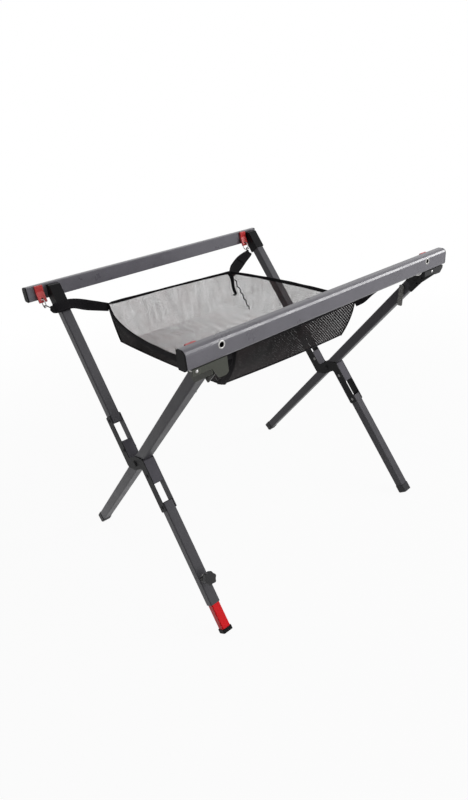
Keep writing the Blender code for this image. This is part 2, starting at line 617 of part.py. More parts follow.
def pull_foot(leg, sleeve):
    half = PULL_CAP / 2
    end = -foot_reach(REAR_LEG_ANGLE, LEG_OFFSET - half)
    top = SLEEVE_END + PULL_HIDDEN
    piece("level_foot", tube(PULL_TUBE, PULL_WALL, end + FOOT_CAP_END + GAP, top, LEG_OFFSET), red_paint, leg)
    body = prism((rounded(box_outline(half, half, LEG_OFFSET), LEG_ROUND),),
                 end, end + FOOT_CAP_END + PULL_CAP_DEPTH, ALONG_LEG)
    cap = piece("level_foot_cap", body, black_plastic, leg)
    hollow = PULL_TUBE / 2 + GAP
    bore = prism((rounded(box_outline(hollow, hollow, LEG_OFFSET), LEG_ROUND),),
                 end + FOOT_CAP_END, end + 0.05, ALONG_LEG)
    combine(cap, tool("level_foot_bore", bore, leg))
    combine(cap, floor_tool("level_foot_floor", NEAR_X - FOOT_SPREAD, -REAR_LEG_FOOT_Y))

    face = LEG_OFFSET + LEG_TUBE / 2
    drill = rod(STUD_HOLE, face - 2 * LEG_WALL, face + 0.01)
    combine(sleeve, tool("stud_drill", drill, leg, (0, KNOB_AT, 0)))
    washer = piece("knob_washer", rod(WASHER_RADIUS, face + GAP, face + GAP + WASHER_THICK, sides=32),
                   bare_steel, leg, (0, KNOB_AT, 0))
    bore = rod(STUD_HOLE, face, face + 0.01)
    combine(washer, tool("washer_bore", bore, leg, (0, KNOB_AT, 0)))
    seat = face + 2 * GAP + WASHER_THICK
    lobed = []
    for step in range(48):
        turn = step * math.tau / 48
        reach = GRIP_RADIUS + GRIP_LOBE * math.cos(GRIP_LOBES * turn)
        lobed.append((reach * math.cos(turn), reach * math.sin(turn)))
    low = seat + COLLAR_HEIGHT
    grip = prism((lobed,), low, low + GRIP_HEIGHT, UPWARD)
    knob = piece("clamp_knob", grip, black_plastic, leg, (0, KNOB_AT, 0))
    soften(knob, GRIP_EDGE, 1)
    collar = rod(COLLAR_RADIUS, seat, low + GRIP_HEIGHT / 2, tip=COLLAR_RADIUS * 0.8)
    combine(knob, tool("knob_collar", collar, leg, (0, KNOB_AT, 0)), "UNION")
    stud = rod(STUD_RADIUS, face - LEG_WALL, seat + 0.008)
    combine(knob, tool("knob_stud", stud, leg, (0, KNOB_AT, 0)), "UNION")


pull_foot(near_leg, sleeve)


def ribbon(stations):
    """strap through stations (place, across, width, thickness), smoothed by Catmull-Rom"""
    rows = []
    count = len(stations)
    for index in range(count - 1):
        four = [stations[min(max(index + shift, 0), count - 1)] for shift in (-1, 0, 1, 2)]
        for step in range(4 if index < count - 2 else 5):
            t = step / 4
            blend = (-0.5 * t ** 3 + t ** 2 - 0.5 * t, 1.5 * t ** 3 - 2.5 * t ** 2 + 1,
                     -1.5 * t ** 3 + 2 * t ** 2 + 0.5 * t, 0.5 * t ** 3 - 0.5 * t ** 2)
            mix = [sum((share * Vector(row[part]) for share, row in zip(blend, four)), Vector((0, 0, 0)))
                   for part in (0, 1)]
            rest = [four[1][part] * (1 - t) + four[2][part] * t for part in (2, 3)]
            rows.append((mix[0], mix[1].normalized(), *rest))
    work = bmesh.new()
    rings = []
    for index, (place, across, width, thick) in enumerate(rows):
        ahead = rows[min(index + 1, len(rows) - 1)][0] - rows[max(index - 1, 0)][0]
        if index < len(rows) - 1:
            across = (across - ahead * across.dot(ahead) / ahead.length_squared).normalized()
        normal = ahead.cross(across).normalized()
        rings.append([work.verts.new(place + across * u * width / 2 + normal * v * thick / 2)
                      for u, v in ((-1, -1), (1, -1), (1, 1), (-1, 1))])
    for ring, following in zip(rings, rings[1:]):
        for k in range(4):
            work.faces.new((ring[k], ring[(k + 1) % 4], following[(k + 1) % 4], following[k]))
    work.faces.new(rings[0])
    work.faces.new(list(reversed(rings[-1])))
    mesh = bpy.data.meshes.new("ribbon")
    work.to_mesh(mesh)
    work.free()
    return finished(mesh, UPWARD)


def corner(label, side, depth, parent, origin, rim, across, passing, lead, twist=(), wide=STRAP_WIDTH):
    """clip, ring, hook and strap of one corner; side is along X, depth along Y"""
    clip_x, reach = (NEAR_CLIP_X, NEAR_HOOK_REACH) if side < 0 else (FAR_CLIP_X, FAR_HOOK_REACH)
    face_y = depth * (RAIL_Y - RAIL_DEPTH / 2)
    profile = rounded(CLIP_OUTLINE, CLIP_ROUNDS)
    base = Vector((clip_x, face_y, RAIL_Z))
    shape = [(-depth * u, v) for u, v in profile]
    clip = piece(f"{label}_clip", prism((shape,), -CLIP_WIDTH / 2, CLIP_WIDTH / 2, SIDEWAYS),
                 red_plastic, parent, base - origin)
    soften(clip, CLIP_EDGE, 1)
    hole = Vector((0, -depth * CLIP_HOLE_AT[0], CLIP_HOLE_AT[1]))
    bore = rod(CLIP_HOLE, -0.02, 0.02, Matrix.Translation(hole) @ Matrix.Rotation(
        math.pi / 2 + depth * CLIP_LEAN, 4, "X"), sides=20)
    combine(clip, tool(clip.name + "_hole", bore, parent, base - origin))

    hang = Vector((0, -depth * math.sin(CLIP_LEAN), -math.cos(CLIP_LEAN))) * RING_RADIUS
    ring_at = base + hole + hang
    turns = [step * math.tau / 20 for step in range(20)]
    ring = wire([(0, RING_RADIUS * math.cos(turn), RING_RADIUS * math.sin(turn)) for turn in turns], WIRE, True)
    piece(f"{label}_ring", ring, bare_steel, parent, ring_at - origin)

    out = Vector((0, -depth * math.cos(HOOK_AT), math.sin(HOOK_AT)))
    inwards = Vector((-side, 0, 0))
    hold = ring_at + out * RING_RADIUS
    bend = [hold + (out * math.cos(turn) + inwards * math.sin(turn)) * HOOK_BEND for turn in
            [math.radians(angle) for angle in (300, 270, 240, 210, 180, 150, 120, 95)]]
    start = ring_at + Vector((-side * reach[0], -depth * reach[1], reach[2]))
    course = (start - bend[-1]).normalized()
    shank = start + course * STRAP_SOCKET
    piece(f"{label}_hook", wire([point - origin for point in bend + [shank]], WIRE), black_steel, parent)

    rim_at = Vector(rim)
    outwards = Vector(lead[-1]) * Vector((1, 1, 0))
    ending = rim_at + outwards.normalized() * STRAP_RIM_GAP - Vector((0, 0, STRAP_RIM_WIDTH / 2))
    stations = [(start, across, STRAP_END_WIDTH, STRAP_END_THICK),
                (start + course * STRAP_END_RUN, across, (STRAP_END_WIDTH + wide) / 2,
                 (STRAP_END_THICK + STRAP_THICK) / 2)]
    stations += [(place, across, STRAP_WIDTH, STRAP_THICK) for place in passing]
    stations += [(rim_at + Vector(offset), turn, wide, STRAP_THICK)
                 for offset, turn in zip(lead, twist or ((0, 0, 1),) * len(lead))]
    stations += [(ending, (0, 0, 1), STRAP_RIM_WIDTH, STRAP_THICK)]
    strap = piece(f"{label}_strap", ribbon([(Vector(place) - origin, *rest) for place, *rest in stations]),
                  webbing, parent)
    socket = wire([start - course * SLIP - origin, start + course * (STRAP_SOCKET + GAP) - origin], WIRE + GAP)
    combine(strap, tool(strap.name + "_socket", socket, parent))


ground = Vector((0, 0, 0))
axis = Vector((0, PIVOT_Y, PIVOT_Z))
rear_slant = (0, math.cos(REAR_LEG_ANGLE), math.sin(REAR_LEG_ANGLE))
front_slant = (0, math.cos(FRONT_LEG_ANGLE), math.sin(FRONT_LEG_ANGLE))
by_rear_leg = on_leg(NEAR_X, -1, REAR_LEG_ANGLE, *REAR_PASS)
by_front_leg = on_leg(NEAR_X, -1, FRONT_LEG_ANGLE, *FRONT_PASS)
past = Vector((PASS_HALF, 0, 0))
corner("near_rear", -1, 1, stand, ground, RIM[0], rear_slant, (by_rear_leg - past, by_rear_leg + past),
       NEAR_LEAD)
corner("near_front", -1, -1, fold, axis, RIM[1], front_slant, (by_front_leg - past, by_front_leg + past),
       NEAR_FRONT_LEAD)
corner("far_rear", 1, 1, stand, ground, RIM[3], FAR_REAR_TWIST[0], (), FAR_REAR_LEAD, FAR_REAR_TWIST[1:],
       FAR_REAR_WIDTH)
corner("far_front", 1, -1, fold, axis, RIM[2], FAR_FRONT_TWIST[0], (), FAR_FRONT_LEAD, FAR_FRONT_TWIST[1:])


def basket():
    """open tub: each wall row lies between the sagging rim and the floor outline"""
    middle = Vector((0, 0, 0))
    for point in RIM:
        middle += Vector(point) / 4

    def outline(corners, sag, bow, square):
        points = []
        for side in range(4):
            start, end = Vector(corners[side]), Vector(corners[(side + 1) % 4])
            inward = (middle - (start + end) / 2) * Vector((1, 1, 0))
            inward.normalize()
            for step in range(SIDE_STEPS):
                t = step / SIDE_STEPS
                hang = 4 * t * (1 - t)
                points.append(start.lerp(end, t) + inward * bow[side] * hang
                              - Vector((0, 0, sag[side] * hang ** square[side])))
        return points

    rim = outline(RIM, RIM_SAG, RIM_BOW, RIM_SQUARE)
    floor = outline(FLOOR, (0, 0, 0, 0), (-0.006, -0.006, -0.006, -0.006), (1, 1, 1, 1))
    heart = sum((point for point in floor), Vector((0, 0, 0))) / len(floor) - Vector((0, 0, FLOOR_DIP))
    rows = []
    for down, inwards in WALL_STEPS:
        rows.append([Vector((top.x + (low.x - top.x) * inwards, top.y + (low.y - top.y) * inwards,
                             top.z + (low.z - top.z) * down)) for top, low in zip(rim, floor)])
    for share in FLOOR_STEPS:
        rows.append([heart + (low - heart) * share - Vector((0, 0, FLOOR_DIP * (1 - share ** 2) * 0.3))
                     for low in floor])
    work = bmesh.new()
    rings = [[work.verts.new(point) for point in row] for row in rows]
    count = len(rim)
    for ring, following in zip(rings, rings[1:]):
        for k in range(count):
            work.faces.new((ring[k], ring[(k + 1) % count], following[(k + 1) % count], following[k]))
    bottom = work.verts.new(heart)
    for k in range(count):
        work.faces.new((rings[-1][k], rings[-1][(k + 1) % count], bottom))
    mesh = bpy.data.meshes.new("basket")
    work.to_mesh(mesh)
    work.free()
    made = piece("basket", finished(mesh, UPWARD), netting, stand)
    shell = made.modifiers.new("cloth", "SOLIDIFY")
    shell.thickness = CLOTH
    shell.offset = -1
    return made


basket()
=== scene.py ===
import math
import bpy
import numpy as np
from mathutils import Matrix


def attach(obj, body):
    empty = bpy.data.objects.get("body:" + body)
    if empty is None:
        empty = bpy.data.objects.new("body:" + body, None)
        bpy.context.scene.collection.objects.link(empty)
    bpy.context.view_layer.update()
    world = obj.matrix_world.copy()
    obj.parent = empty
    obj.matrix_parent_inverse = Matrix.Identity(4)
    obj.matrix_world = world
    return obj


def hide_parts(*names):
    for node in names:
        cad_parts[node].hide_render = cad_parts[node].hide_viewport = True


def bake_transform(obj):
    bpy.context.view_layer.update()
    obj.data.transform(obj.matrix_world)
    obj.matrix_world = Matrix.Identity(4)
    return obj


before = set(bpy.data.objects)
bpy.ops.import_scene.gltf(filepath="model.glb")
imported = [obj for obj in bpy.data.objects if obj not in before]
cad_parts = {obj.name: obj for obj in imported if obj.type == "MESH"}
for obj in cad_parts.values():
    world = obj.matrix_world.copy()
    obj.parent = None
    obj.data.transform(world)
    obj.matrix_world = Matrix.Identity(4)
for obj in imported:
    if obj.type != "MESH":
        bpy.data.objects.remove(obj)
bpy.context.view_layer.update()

scene = bpy.context.scene
scene.view_settings.view_transform = "Standard"
print("frame loaded,", len(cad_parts), "solids")


# small tools

def toLinear(colour):
    # sRGB hex to linear light: c / 12.92 near black, else ((c + 0.055) / 1.055) to the power 2.4
    parts = [int(colour[k:k + 2], 16) / 255 for k in (1, 3, 5)]
    return (*[c / 12.92 if c <= 0.04045 else ((c + 0.055) / 1.055) ** 2.4 for c in parts], 1)


def addNode(tree, kind, feeds=None, **settings):
    # one node: settings first, then each input gets a value or (node, output)
    node = tree.nodes.new("ShaderNode" + kind)
    for name, value in settings.items():
        setattr(node, name, value)
    for socket, source in (feeds or {}).items():
        if isinstance(source, tuple) and isinstance(source[0], bpy.types.Node):
            tree.links.new(source[0].outputs[source[1]], node.inputs[socket])
        else:
            node.inputs[socket].default_value = source
    return node


def newMaterial(name, **values):
    # a Principled material; values are its sockets by name, with an underscore for each space
    made = bpy.data.materials.new(name)
    made.use_nodes = True
    shader = made.node_tree.nodes["Principled BSDF"]
    for socket, value in values.items():
        shader.inputs[socket.replace("_", " ")].default_value = value
    return made, made.node_tree, shader


def plug(tree, node, output, target, socket):
    tree.links.new(node.outputs[output], target.inputs[socket])


# the camera stands at the photograph's place and looks at its angle

cameraLook = {"eye": (-0.79786, -0.9923, 1.0351), "azimuth": 37.72, "elevation": 27.43, "roll": -6.28,
              "lens": 24.31, "sensor": 36.0}


def makeCamera(look):
    # columns of the turn: right and up rolled about the line of sight, and the way back to the eye
    az, el, roll = (math.radians(look[k]) for k in ("azimuth", "elevation", "roll"))
    right = np.array((math.cos(az), -math.sin(az), 0))
    up = np.array((math.sin(az) * math.sin(el), math.cos(az) * math.sin(el), math.cos(el)))
    back = np.array((-math.sin(az) * math.cos(el), -math.cos(az) * math.cos(el), math.sin(el)))
    across = math.cos(roll) * right + math.sin(roll) * up
    upward = -math.sin(roll) * right + math.cos(roll) * up
    lens = bpy.data.cameras.new("camera")
    lens.lens = look["lens"]
    lens.sensor_width = look["sensor"]
    lens.clip_start = 0.02
    made = bpy.data.objects.new("camera", lens)
    scene.collection.objects.link(made)
    turn = np.eye(4)
    turn[:3, 0], turn[:3, 1], turn[:3, 2], turn[:3, 3] = across, upward, back, look["eye"]
    made.matrix_world = Matrix(turn.tolist())
    scene.camera = made


makeCamera(cameraLook)

# plain soft light from three boxes, and a narrow strip that draws the bright ridge along the front rail
# each box: name, place, aim, way of its long side, long side, short side, watts
studio = {"world": 0.19,
          "boxes": (("key box", (1.65, -1.45, 2.55), (0.0, 0.0, 0.45),
                     (1.0, 0.8, 0.0), 1.7, 1.7, 15.0),
                    ("front fill", (0.35, -3.4, 0.80), (0.0, 0.0, 0.45),
                     (1.0, 0.0, 0.0), 2.2, 1.4, 20.0),
                    ("edge strip", (1.47, -1.46, 1.62), (0.0, -0.33, 0.72),
                     (1.36, 0.52, -0.42), 1.9, 0.34, 19.0),
                    ("back fill", (-0.5, 2.3, 2.2), (0.0, 0.0, 0.45),
                     (1.0, 0.0, 0.0), 1.6, 1.6, 12.0)),
          "paper": 0.62, "reach": 40.0, "floorDrop": 0.0004,
          "floorShare": 0.95, "fadeFrom": 0.7, "fadeTo": 2.6}


def seenWhite(tree):
    # 1 for camera, glossy and transmission rays, which see plain white at strength 1
    path = addNode(tree, "LightPath")
    first = addNode(tree, "Math", {0: (path, "Is Camera Ray"), 1: (path, "Is Glossy Ray")},
                    operation="MAXIMUM")
    return addNode(tree, "Math", {0: (first, 0), 1: (path, "Is Transmission Ray")},
                   operation="MAXIMUM")


def makeStudio(look):
    # each box looks from its place to its aim, its long side turned as near to the given way as can be
    world = bpy.data.worlds.new("studio")
    scene.world = world
    world.use_nodes = True
    tree = world.node_tree
    tree.nodes.clear()
    lit = addNode(tree, "Background", {"Color": (1, 1, 1, 1), "Strength": look["world"]})
    white = addNode(tree, "Background", {"Color": (1, 1, 1, 1), "Strength": 1.0})
    mixed = addNode(tree, "MixShader", {0: (seenWhite(tree), 0), 1: (lit, 0), 2: (white, 0)})
    addNode(tree, "OutputWorld", {"Surface": (mixed, 0)})
    for name, place, aim, long, size, sizeAcross, power in look["boxes"]:
        lamp = bpy.data.lights.new(name, "AREA")
        lamp.shape = "RECTANGLE"
        lamp.size = size
        lamp.size_y = sizeAcross
        lamp.energy = power
        made = bpy.data.objects.new(name, lamp)
        scene.collection.objects.link(made)
        away = np.array(place) - np.array(aim)
        away /= np.linalg.norm(away)
        side = np.array(long) - away * np.dot(long, away)
        side /= np.linalg.norm(side)
        turn = np.eye(4)
        turn[:3, 0], turn[:3, 1], turn[:3, 2], turn[:3, 3] = side, np.cross(away, side), away, place
        made.matrix_world = Matrix(turn.tolist())
    mesh = bpy.data.meshes.new("floor")
    reach, low = look["reach"], -look["floorDrop"]
    mesh.from_pydata([(-reach, -reach, low), (reach, -reach, low), (reach, reach, low),
                      (-reach, reach, low)], [], [(0, 1, 2, 3)])
    floor = bpy.data.objects.new("floor", mesh)
    scene.collection.objects.link(floor)
    paper = bpy.data.materials.new("whiteStudioPaper")
    paper.use_nodes = True
    tree = paper.node_tree
    tree.nodes.clear()
    matt = addNode(tree, "BsdfDiffuse", {"Color": (*[look["paper"]] * 3, 1)})
    glow = addNode(tree, "Emission", {"Color": (1, 1, 1, 1), "Strength": 1.0})
    # lit paper keeps a faint shadow near the object and turns to plain white further out
    far = addNode(tree, "VectorMath", {0: (addNode(tree, "TexCoord"), "Object")}, operation="LENGTH")
    share = addNode(tree, "MapRange", {"Value": (far, "Value"), "From Min": look["fadeFrom"],
                                       "From Max": look["fadeTo"], "To Min": look["floorShare"]},
                    interpolation_type="SMOOTHSTEP")
    part = addNode(tree, "Math", {0: (seenWhite(tree), 0), 1: (share, 0)}, operation="MULTIPLY")
    mixed = addNode(tree, "MixShader", {0: (part, 0), 1: (matt, 0), 2: (glow, 0)})
    addNode(tree, "OutputMaterial", {"Surface": (mixed, 0)})
    mesh.materials.append(paper)


makeStudio(studio)
print("camera, light and floor made")


# finishes; every pattern's size is in metres

def objectPlace(tree, stretch=(1, 1, 1)):
    place = addNode(tree, "TexCoord")
    return addNode(tree, "Mapping", {"Vector": (place, "Object"), "Scale": stretch})


def powderCoat(name, look):
    # powder-coated steel tube: a satin skin with a fine pebble, faint cloudiness and paler rubbed spots
    cloudSize, rubSize = 0.045, 0.004
    pebbleSize = 0.0016  # the pebble of powder coat is about 0.3 mm, drawn coarser so that it shows
    made, tree, shader = newMaterial(name, Roughness=look["rough"], Specular_IOR_Level=look["shine"])
    place = objectPlace(tree)
    cloud = addNode(tree, "TexNoise", {"Vector": (place, 0), "Scale": 1 / cloudSize, "Detail": 4.0,
                                       "Roughness": 0.6})
    speck = addNode(tree, "TexNoise", {"Vector": (place, 0), "Scale": 1 / pebbleSize, "Detail": 2.0})
    both = addNode(tree, "Math", {0: (cloud, 0), 1: (speck, 0)}, operation="ADD")
    tone = addNode(tree, "MapRange", {"Value": (both, 0), "From Min": 0.72, "From Max": 1.28})
    colour = addNode(tree, "Mix", {0: (tone, 0), 6: toLinear(look["dark"]), 7: toLinear(look["light"])},
                     data_type="RGBA")
    # rubs are four times as long up and back as from side to side
    along = objectPlace(tree, (1, 0.25, 0.25))
    rub = addNode(tree, "TexNoise", {"Vector": (along, 0), "Scale": 1 / rubSize, "Detail": 5.0,
                                     "Roughness": 0.7})
    worn = addNode(tree, "MapRange", {"Value": (rub, 0), "From Min": 0.66, "From Max": 0.80,
                                      "To Max": 0.35})
    shown = addNode(tree, "Mix", {0: (worn, 0), 6: (colour, 2), 7: toLinear(look["rubbed"])},
                    data_type="RGBA")
    plug(tree, shown, 2, shader, "Base Color")
    rough = addNode(tree, "MapRange", {"Value": (cloud, 0), "From Min": 0.3, "From Max": 0.7,
                                       "To Min": look["rough"] - 0.05, "To Max": look["rough"] + 0.07})
    plug(tree, rough, 0, shader, "Roughness")
    bump = addNode(tree, "Bump", {"Height": (speck, 0), "Strength": look["pebble"],
                                  "Distance": 0.0002})
    plug(tree, bump, 0, shader, "Normal")
    return made


def coatedSheet(name, look):
    # e-coated pressed sheet steel: smooth satin with a cloudy grain, and pale rub marks from folding
    grainSize, streakSize = 0.003, 0.0018
    made, tree, shader = newMaterial(name, Roughness=look["rough"], Specular_IOR_Level=look["shine"])
    place, upright = objectPlace(tree), objectPlace(tree, (1, 1, 0.12))
    grain = addNode(tree, "TexNoise", {"Vector": (place, 0), "Scale": 1 / grainSize, "Detail": 5.0,
                                       "Roughness": 0.65})
    streak = addNode(tree, "TexNoise", {"Vector": (upright, 0), "Scale": 1 / streakSize, "Detail": 3.0})
    worn = addNode(tree, "MapRange", {"Value": (streak, 0), "From Min": 0.64, "From Max": 0.78,
                                      "To Max": 0.5})
    colour = addNode(tree, "Mix", {0: (grain, 0), 6: toLinear(look["dark"]), 7: toLinear(look["light"])},
                     data_type="RGBA")
    shown = addNode(tree, "Mix", {0: (worn, 0), 6: (colour, 2), 7: toLinear(look["rubbed"])},
                    data_type="RGBA")
    plug(tree, shown, 2, shader, "Base Color")
    rough = addNode(tree, "MapRange", {"Value": (grain, 0), "From Min": 0.3, "From Max": 0.7,
                                       "To Min": look["rough"] - 0.08, "To Max": look["rough"] + 0.08})
    plug(tree, rough, 0, shader, "Roughness")
    bump = addNode(tree, "Bump", {"Height": (grain, 0), "Strength": 0.10, "Distance": 0.0002})
    plug(tree, bump, 0, shader, "Normal")
    return made


def platedSteel(name, look):
    # zinc-plated steel: grey metal, brushed by rolling, with a dull crystalline bloom
    streakSize, bloomSize = 0.0007, 0.0035
    made, tree, shader = newMaterial(name, Metallic=1.0, Roughness=look["rough"])
    place, upright = objectPlace(tree), objectPlace(tree, (1, 1, 0.06))
    streak = addNode(tree, "TexNoise", {"Vector": (upright, 0), "Scale": 1 / streakSize, "Detail": 3.0})
    bloom = addNode(tree, "TexVoronoi", {"Vector": (place, 0), "Scale": 1 / bloomSize})
    both = addNode(tree, "Math", {0: (streak, 0), 1: (bloom, "Distance")}, operation="ADD")
    tone = addNode(tree, "MapRange", {"Value": (both, 0), "From Min": 0.5, "From Max": 1.3})
    colour = addNode(tree, "Mix", {0: (tone, 0), 6: toLinear(look["dark"]), 7: toLinear(look["light"])},
                     data_type="RGBA")
    plug(tree, colour, 2, shader, "Base Color")
    rough = addNode(tree, "MapRange", {"Value": (bloom, "Distance"), "From Max": 0.8,
                                       "To Min": look["rough"] - 0.06, "To Max": look["rough"] + 0.1})
    plug(tree, rough, 0, shader, "Roughness")
    bump = addNode(tree, "Bump", {"Height": (streak, 0), "Strength": 0.12, "Distance": 0.0001})
    plug(tree, bump, 0, shader, "Normal")
    return made


def mouldedPlastic(name, look):
    # injection-moulded nylon: even colour, a fine spark-eroded grain, paler scuffs on it
    cloudSize, scuffSize = 0.012, 0.005
    grainSize = 0.0009  # mould grain is about 0.2 mm, drawn coarser so that it shows
    made, tree, shader = newMaterial(name, Roughness=look["rough"], IOR=1.5,
                                     Specular_IOR_Level=look["shine"],
                                     Subsurface_Weight=look.get("glow", 0.0), Subsurface_Scale=0.002)
    place = objectPlace(tree)
    grain = addNode(tree, "TexNoise", {"Vector": (place, 0), "Scale": 1 / grainSize, "Detail": 2.0})
    cloud = addNode(tree, "TexNoise", {"Vector": (place, 0), "Scale": 1 / cloudSize, "Detail": 3.0})
    colour = addNode(tree, "Mix", {0: (cloud, 0), 6: toLinear(look["dark"]), 7: toLinear(look["light"])},
                     data_type="RGBA")
    scrape = addNode(tree, "TexNoise", {"Vector": (place, 0), "Scale": 1 / scuffSize, "Detail": 6.0,
                                        "Roughness": 0.75})
    scuff = addNode(tree, "MapRange", {"Value": (scrape, 0), "From Min": 0.62, "From Max": 0.78,
                                       "To Max": 0.4})
    shown = addNode(tree, "Mix", {0: (scuff, 0), 6: (colour, 2), 7: toLinear(look["rubbed"])},
                    data_type="RGBA")
    plug(tree, shown, 2, shader, "Base Color")
    rough = addNode(tree, "MapRange", {"Value": (grain, 0), "From Min": 0.3, "From Max": 0.7,
                                       "To Min": look["rough"] - 0.06, "To Max": look["rough"] + 0.06})
    plug(tree, rough, 0, shader, "Roughness")
    bump = addNode(tree, "Bump", {"Height": (grain, 0), "Strength": 0.14, "Distance": 0.0002})
    plug(tree, bump, 0, shader, "Normal")
    return made


def wovenWebbing(name, look):
    # polyester webbing: ribs of a tight plain weave, dull with a soft sheen, a sewn row near each edge
    warp, weft, fuzzSize = 0.0016, 0.0012, 0.006
    stitchStep, stitchLong, stitchHalf = 0.0034, 0.0020, 0.0005
    made, tree, shader = newMaterial(name, Roughness=0.85, Specular_IOR_Level=0.15, Sheen_Weight=0.06,
                                     Sheen_Roughness=0.4, Sheen_Tint=(0.5, 0.48, 0.5, 1))
    cloth = addNode(tree, "UVMap", uv_map="cloth")
    split = addNode(tree, "SeparateXYZ", {0: (cloth, 0)})
    waves = []
    for axis, pitch in (("X", warp), ("Y", weft)):
        turns = addNode(tree, "Math", {0: (split, axis), 1: math.tau / pitch}, operation="MULTIPLY")
        waves.append(addNode(tree, "Math", {0: (turns, 0)}, operation="SINE"))
    weave = addNode(tree, "Math", {0: (waves[0], 0), 1: (waves[1], 0)}, operation="MULTIPLY")
    fuzz = addNode(tree, "TexNoise", {"Vector": (cloth, 0), "Scale": 1 / fuzzSize, "Detail": 4.0})
    tone = addNode(tree, "Math", {0: (weave, 0), 1: 0.25, 2: (fuzz, 0)}, operation="MULTIPLY_ADD")
    colour = addNode(tree, "Mix", {0: (tone, 0), 6: toLinear(look["dark"]), 7: toLinear(look["light"])},
                     data_type="RGBA")
    # a stitch: within half a thread of the row across, and within a stitch's length along;
    # row: how far the sewn row lies from the middle
    offMiddle = addNode(tree, "Math", {0: (split, "X")}, operation="ABSOLUTE")
    onRow = addNode(tree, "Math", {0: (offMiddle, 0), 1: look["row"], 2: stitchHalf},
                    operation="COMPARE")
    along = addNode(tree, "Math", {0: (split, "Y"), 1: stitchStep}, operation="MODULO")
    dash = addNode(tree, "Math", {0: (along, 0), 1: stitchLong}, operation="LESS_THAN")
    stitch = addNode(tree, "Math", {0: (onRow, 0), 1: (dash, 0)}, operation="MULTIPLY")
    shown = addNode(tree, "Mix", {0: (stitch, 0), 6: (colour, 2), 7: toLinear(look["thread"])},
                    data_type="RGBA")
    plug(tree, shown, 2, shader, "Base Color")
    height = addNode(tree, "Math", {0: (stitch, 0), 1: 2.0, 2: (weave, 0)}, operation="MULTIPLY_ADD")
    bump = addNode(tree, "Bump", {"Height": (height, 0), "Strength": 0.5, "Distance": 0.0003})
    plug(tree, bump, 0, shader, "Normal")
    return made


def knottedNet(name, look):
    # knitted polyester net: dark yarn round open diamonds, so white shows through it as a soft grey
    creaseSize, cloudSize, yarnEdge = 0.014, 0.07, 0.06
    made, tree, shader = newMaterial(name, Roughness=0.85, Specular_IOR_Level=0.15, Sheen_Weight=0.05,
                                     Sheen_Roughness=0.5)
    cloth = addNode(tree, "UVMap", uv_map="cloth")
    split = addNode(tree, "SeparateXYZ", {0: (cloth, 0)})
    near = []
    for operation in ("ADD", "SUBTRACT"):  # the two diagonals of the diamonds
        lean = addNode(tree, "Math", {0: (split, "X"), 1: (split, "Y")}, operation=operation)
        cells = addNode(tree, "Math", {0: (lean, 0), 1: 1 / look["pitch"]}, operation="MULTIPLY")
        near.append(addNode(tree, "Math", {0: (cells, 0), 1: 0.5}, operation="PINGPONG"))
    least = addNode(tree, "Math", {0: (near[0], 0), 1: (near[1], 0)}, operation="MINIMUM")
    # yarn covers a cell where its distance to the cell's edge is under half;
    # so half is (1 - square root of the open share) / 2
    halves = [(1 - math.sqrt(share)) / 2 for share in look["open"]]
    drift = addNode(tree, "MapRange", {"Value": (split, "X"), "From Min": look["from"],
                                       "From Max": look["to"], "To Min": halves[0],
                                       "To Max": halves[1]})
    # soft creases: the knit bunches up along them
    stretched = addNode(tree, "Mapping", {"Vector": (cloth, 0), "Scale": (1, 0.2, 1),
                                          "Rotation": (0, 0, 0.5)})
    creases = addNode(tree, "TexNoise", {"Vector": (stretched, 0), "Scale": 1 / creaseSize,
                                         "Detail": 1.0})
    cloud = addNode(tree, "TexNoise", {"Vector": (cloth, 0), "Scale": 1 / cloudSize, "Detail": 4.0,
                                       "Roughness": 0.6})
    both = addNode(tree, "Math", {0: (creases, 0), 1: (cloud, 0)}, operation="ADD")
    bunched = addNode(tree, "Math", {0: (both, 0), 1: look["uneven"], 2: -look["uneven"]},
                      operation="MULTIPLY_ADD")
    half = addNode(tree, "Math", {0: (drift, 0), 1: (bunched, 0)}, operation="ADD")
    inside = addNode(tree, "Math", {0: (half, 0), 1: (least, 0)}, operation="SUBTRACT")
    # full yarn to full gap over a small share of a cell
    solid = addNode(tree, "Math", {0: (inside, 0), 1: 1 / yarnEdge, 2: 0.5},
                    operation="MULTIPLY_ADD", use_clamp=True)
    plug(tree, solid, 0, shader, "Alpha")
    tone = addNode(tree, "MapRange", {"Value": (cloud, 0), "From Min": 0.4, "From Max": 0.65})
    colour = addNode(tree, "Mix", {0: (tone, 0), 6: toLinear(look["dark"]), 7: toLinear(look["light"])},
                     data_type="RGBA")
    plug(tree, colour, 2, shader, "Base Color")
    bump = addNode(tree, "Bump", {"Height": (least, 0), "Strength": 0.4, "Distance": 0.0005},
                   invert=True)
    plug(tree, bump, 0, shader, "Normal")
    return made


railPaint = powderCoat("lavenderGreyPowderCoat", {
    "dark": "#5f5d65", "light": "#6c6a72", "rubbed": "#7f7d85", "rough": 0.30, "shine": 0.7,
    "pebble": 0.05})
legPaint = powderCoat("darkGreyPowderCoat", {
    "dark": "#49484c", "light": "#565559", "rubbed": "#6e6d71", "rough": 0.42, "shine": 0.22,
    "pebble": 0.16})
blackSheet = coatedSheet("blackCoatedSheet", {
    "dark": "#0f0f10", "light": "#1a1a1c", "rubbed": "#3c3c3f", "rough": 0.55, "shine": 0.16})
dullSheet = coatedSheet("greyGreenCoatedSheet", {
    "dark": "#444640", "light": "#575950", "rubbed": "#7d7f75", "rough": 0.5, "shine": 0.3})
# a lighter copy of the black sheet for the plate seen through the near hub's window: painted light on
# its lit face
paintedLightSheet = coatedSheet("paintedLightCoatedSheet", {
    "dark": "#434246", "light": "#505054", "rubbed": "#6c6c70", "rough": 0.5, "shine": 0.25})
# a darker copy of the coated sheet for the far front bracket and the far leg strip: painted shade where
# they stand in shadow
paintedShadeSheet = coatedSheet("paintedShadeCoatedSheet", {
    "dark": "#2a2a2b", "light": "#363637", "rubbed": "#5c5c5c", "rough": 0.5, "shine": 0.2})
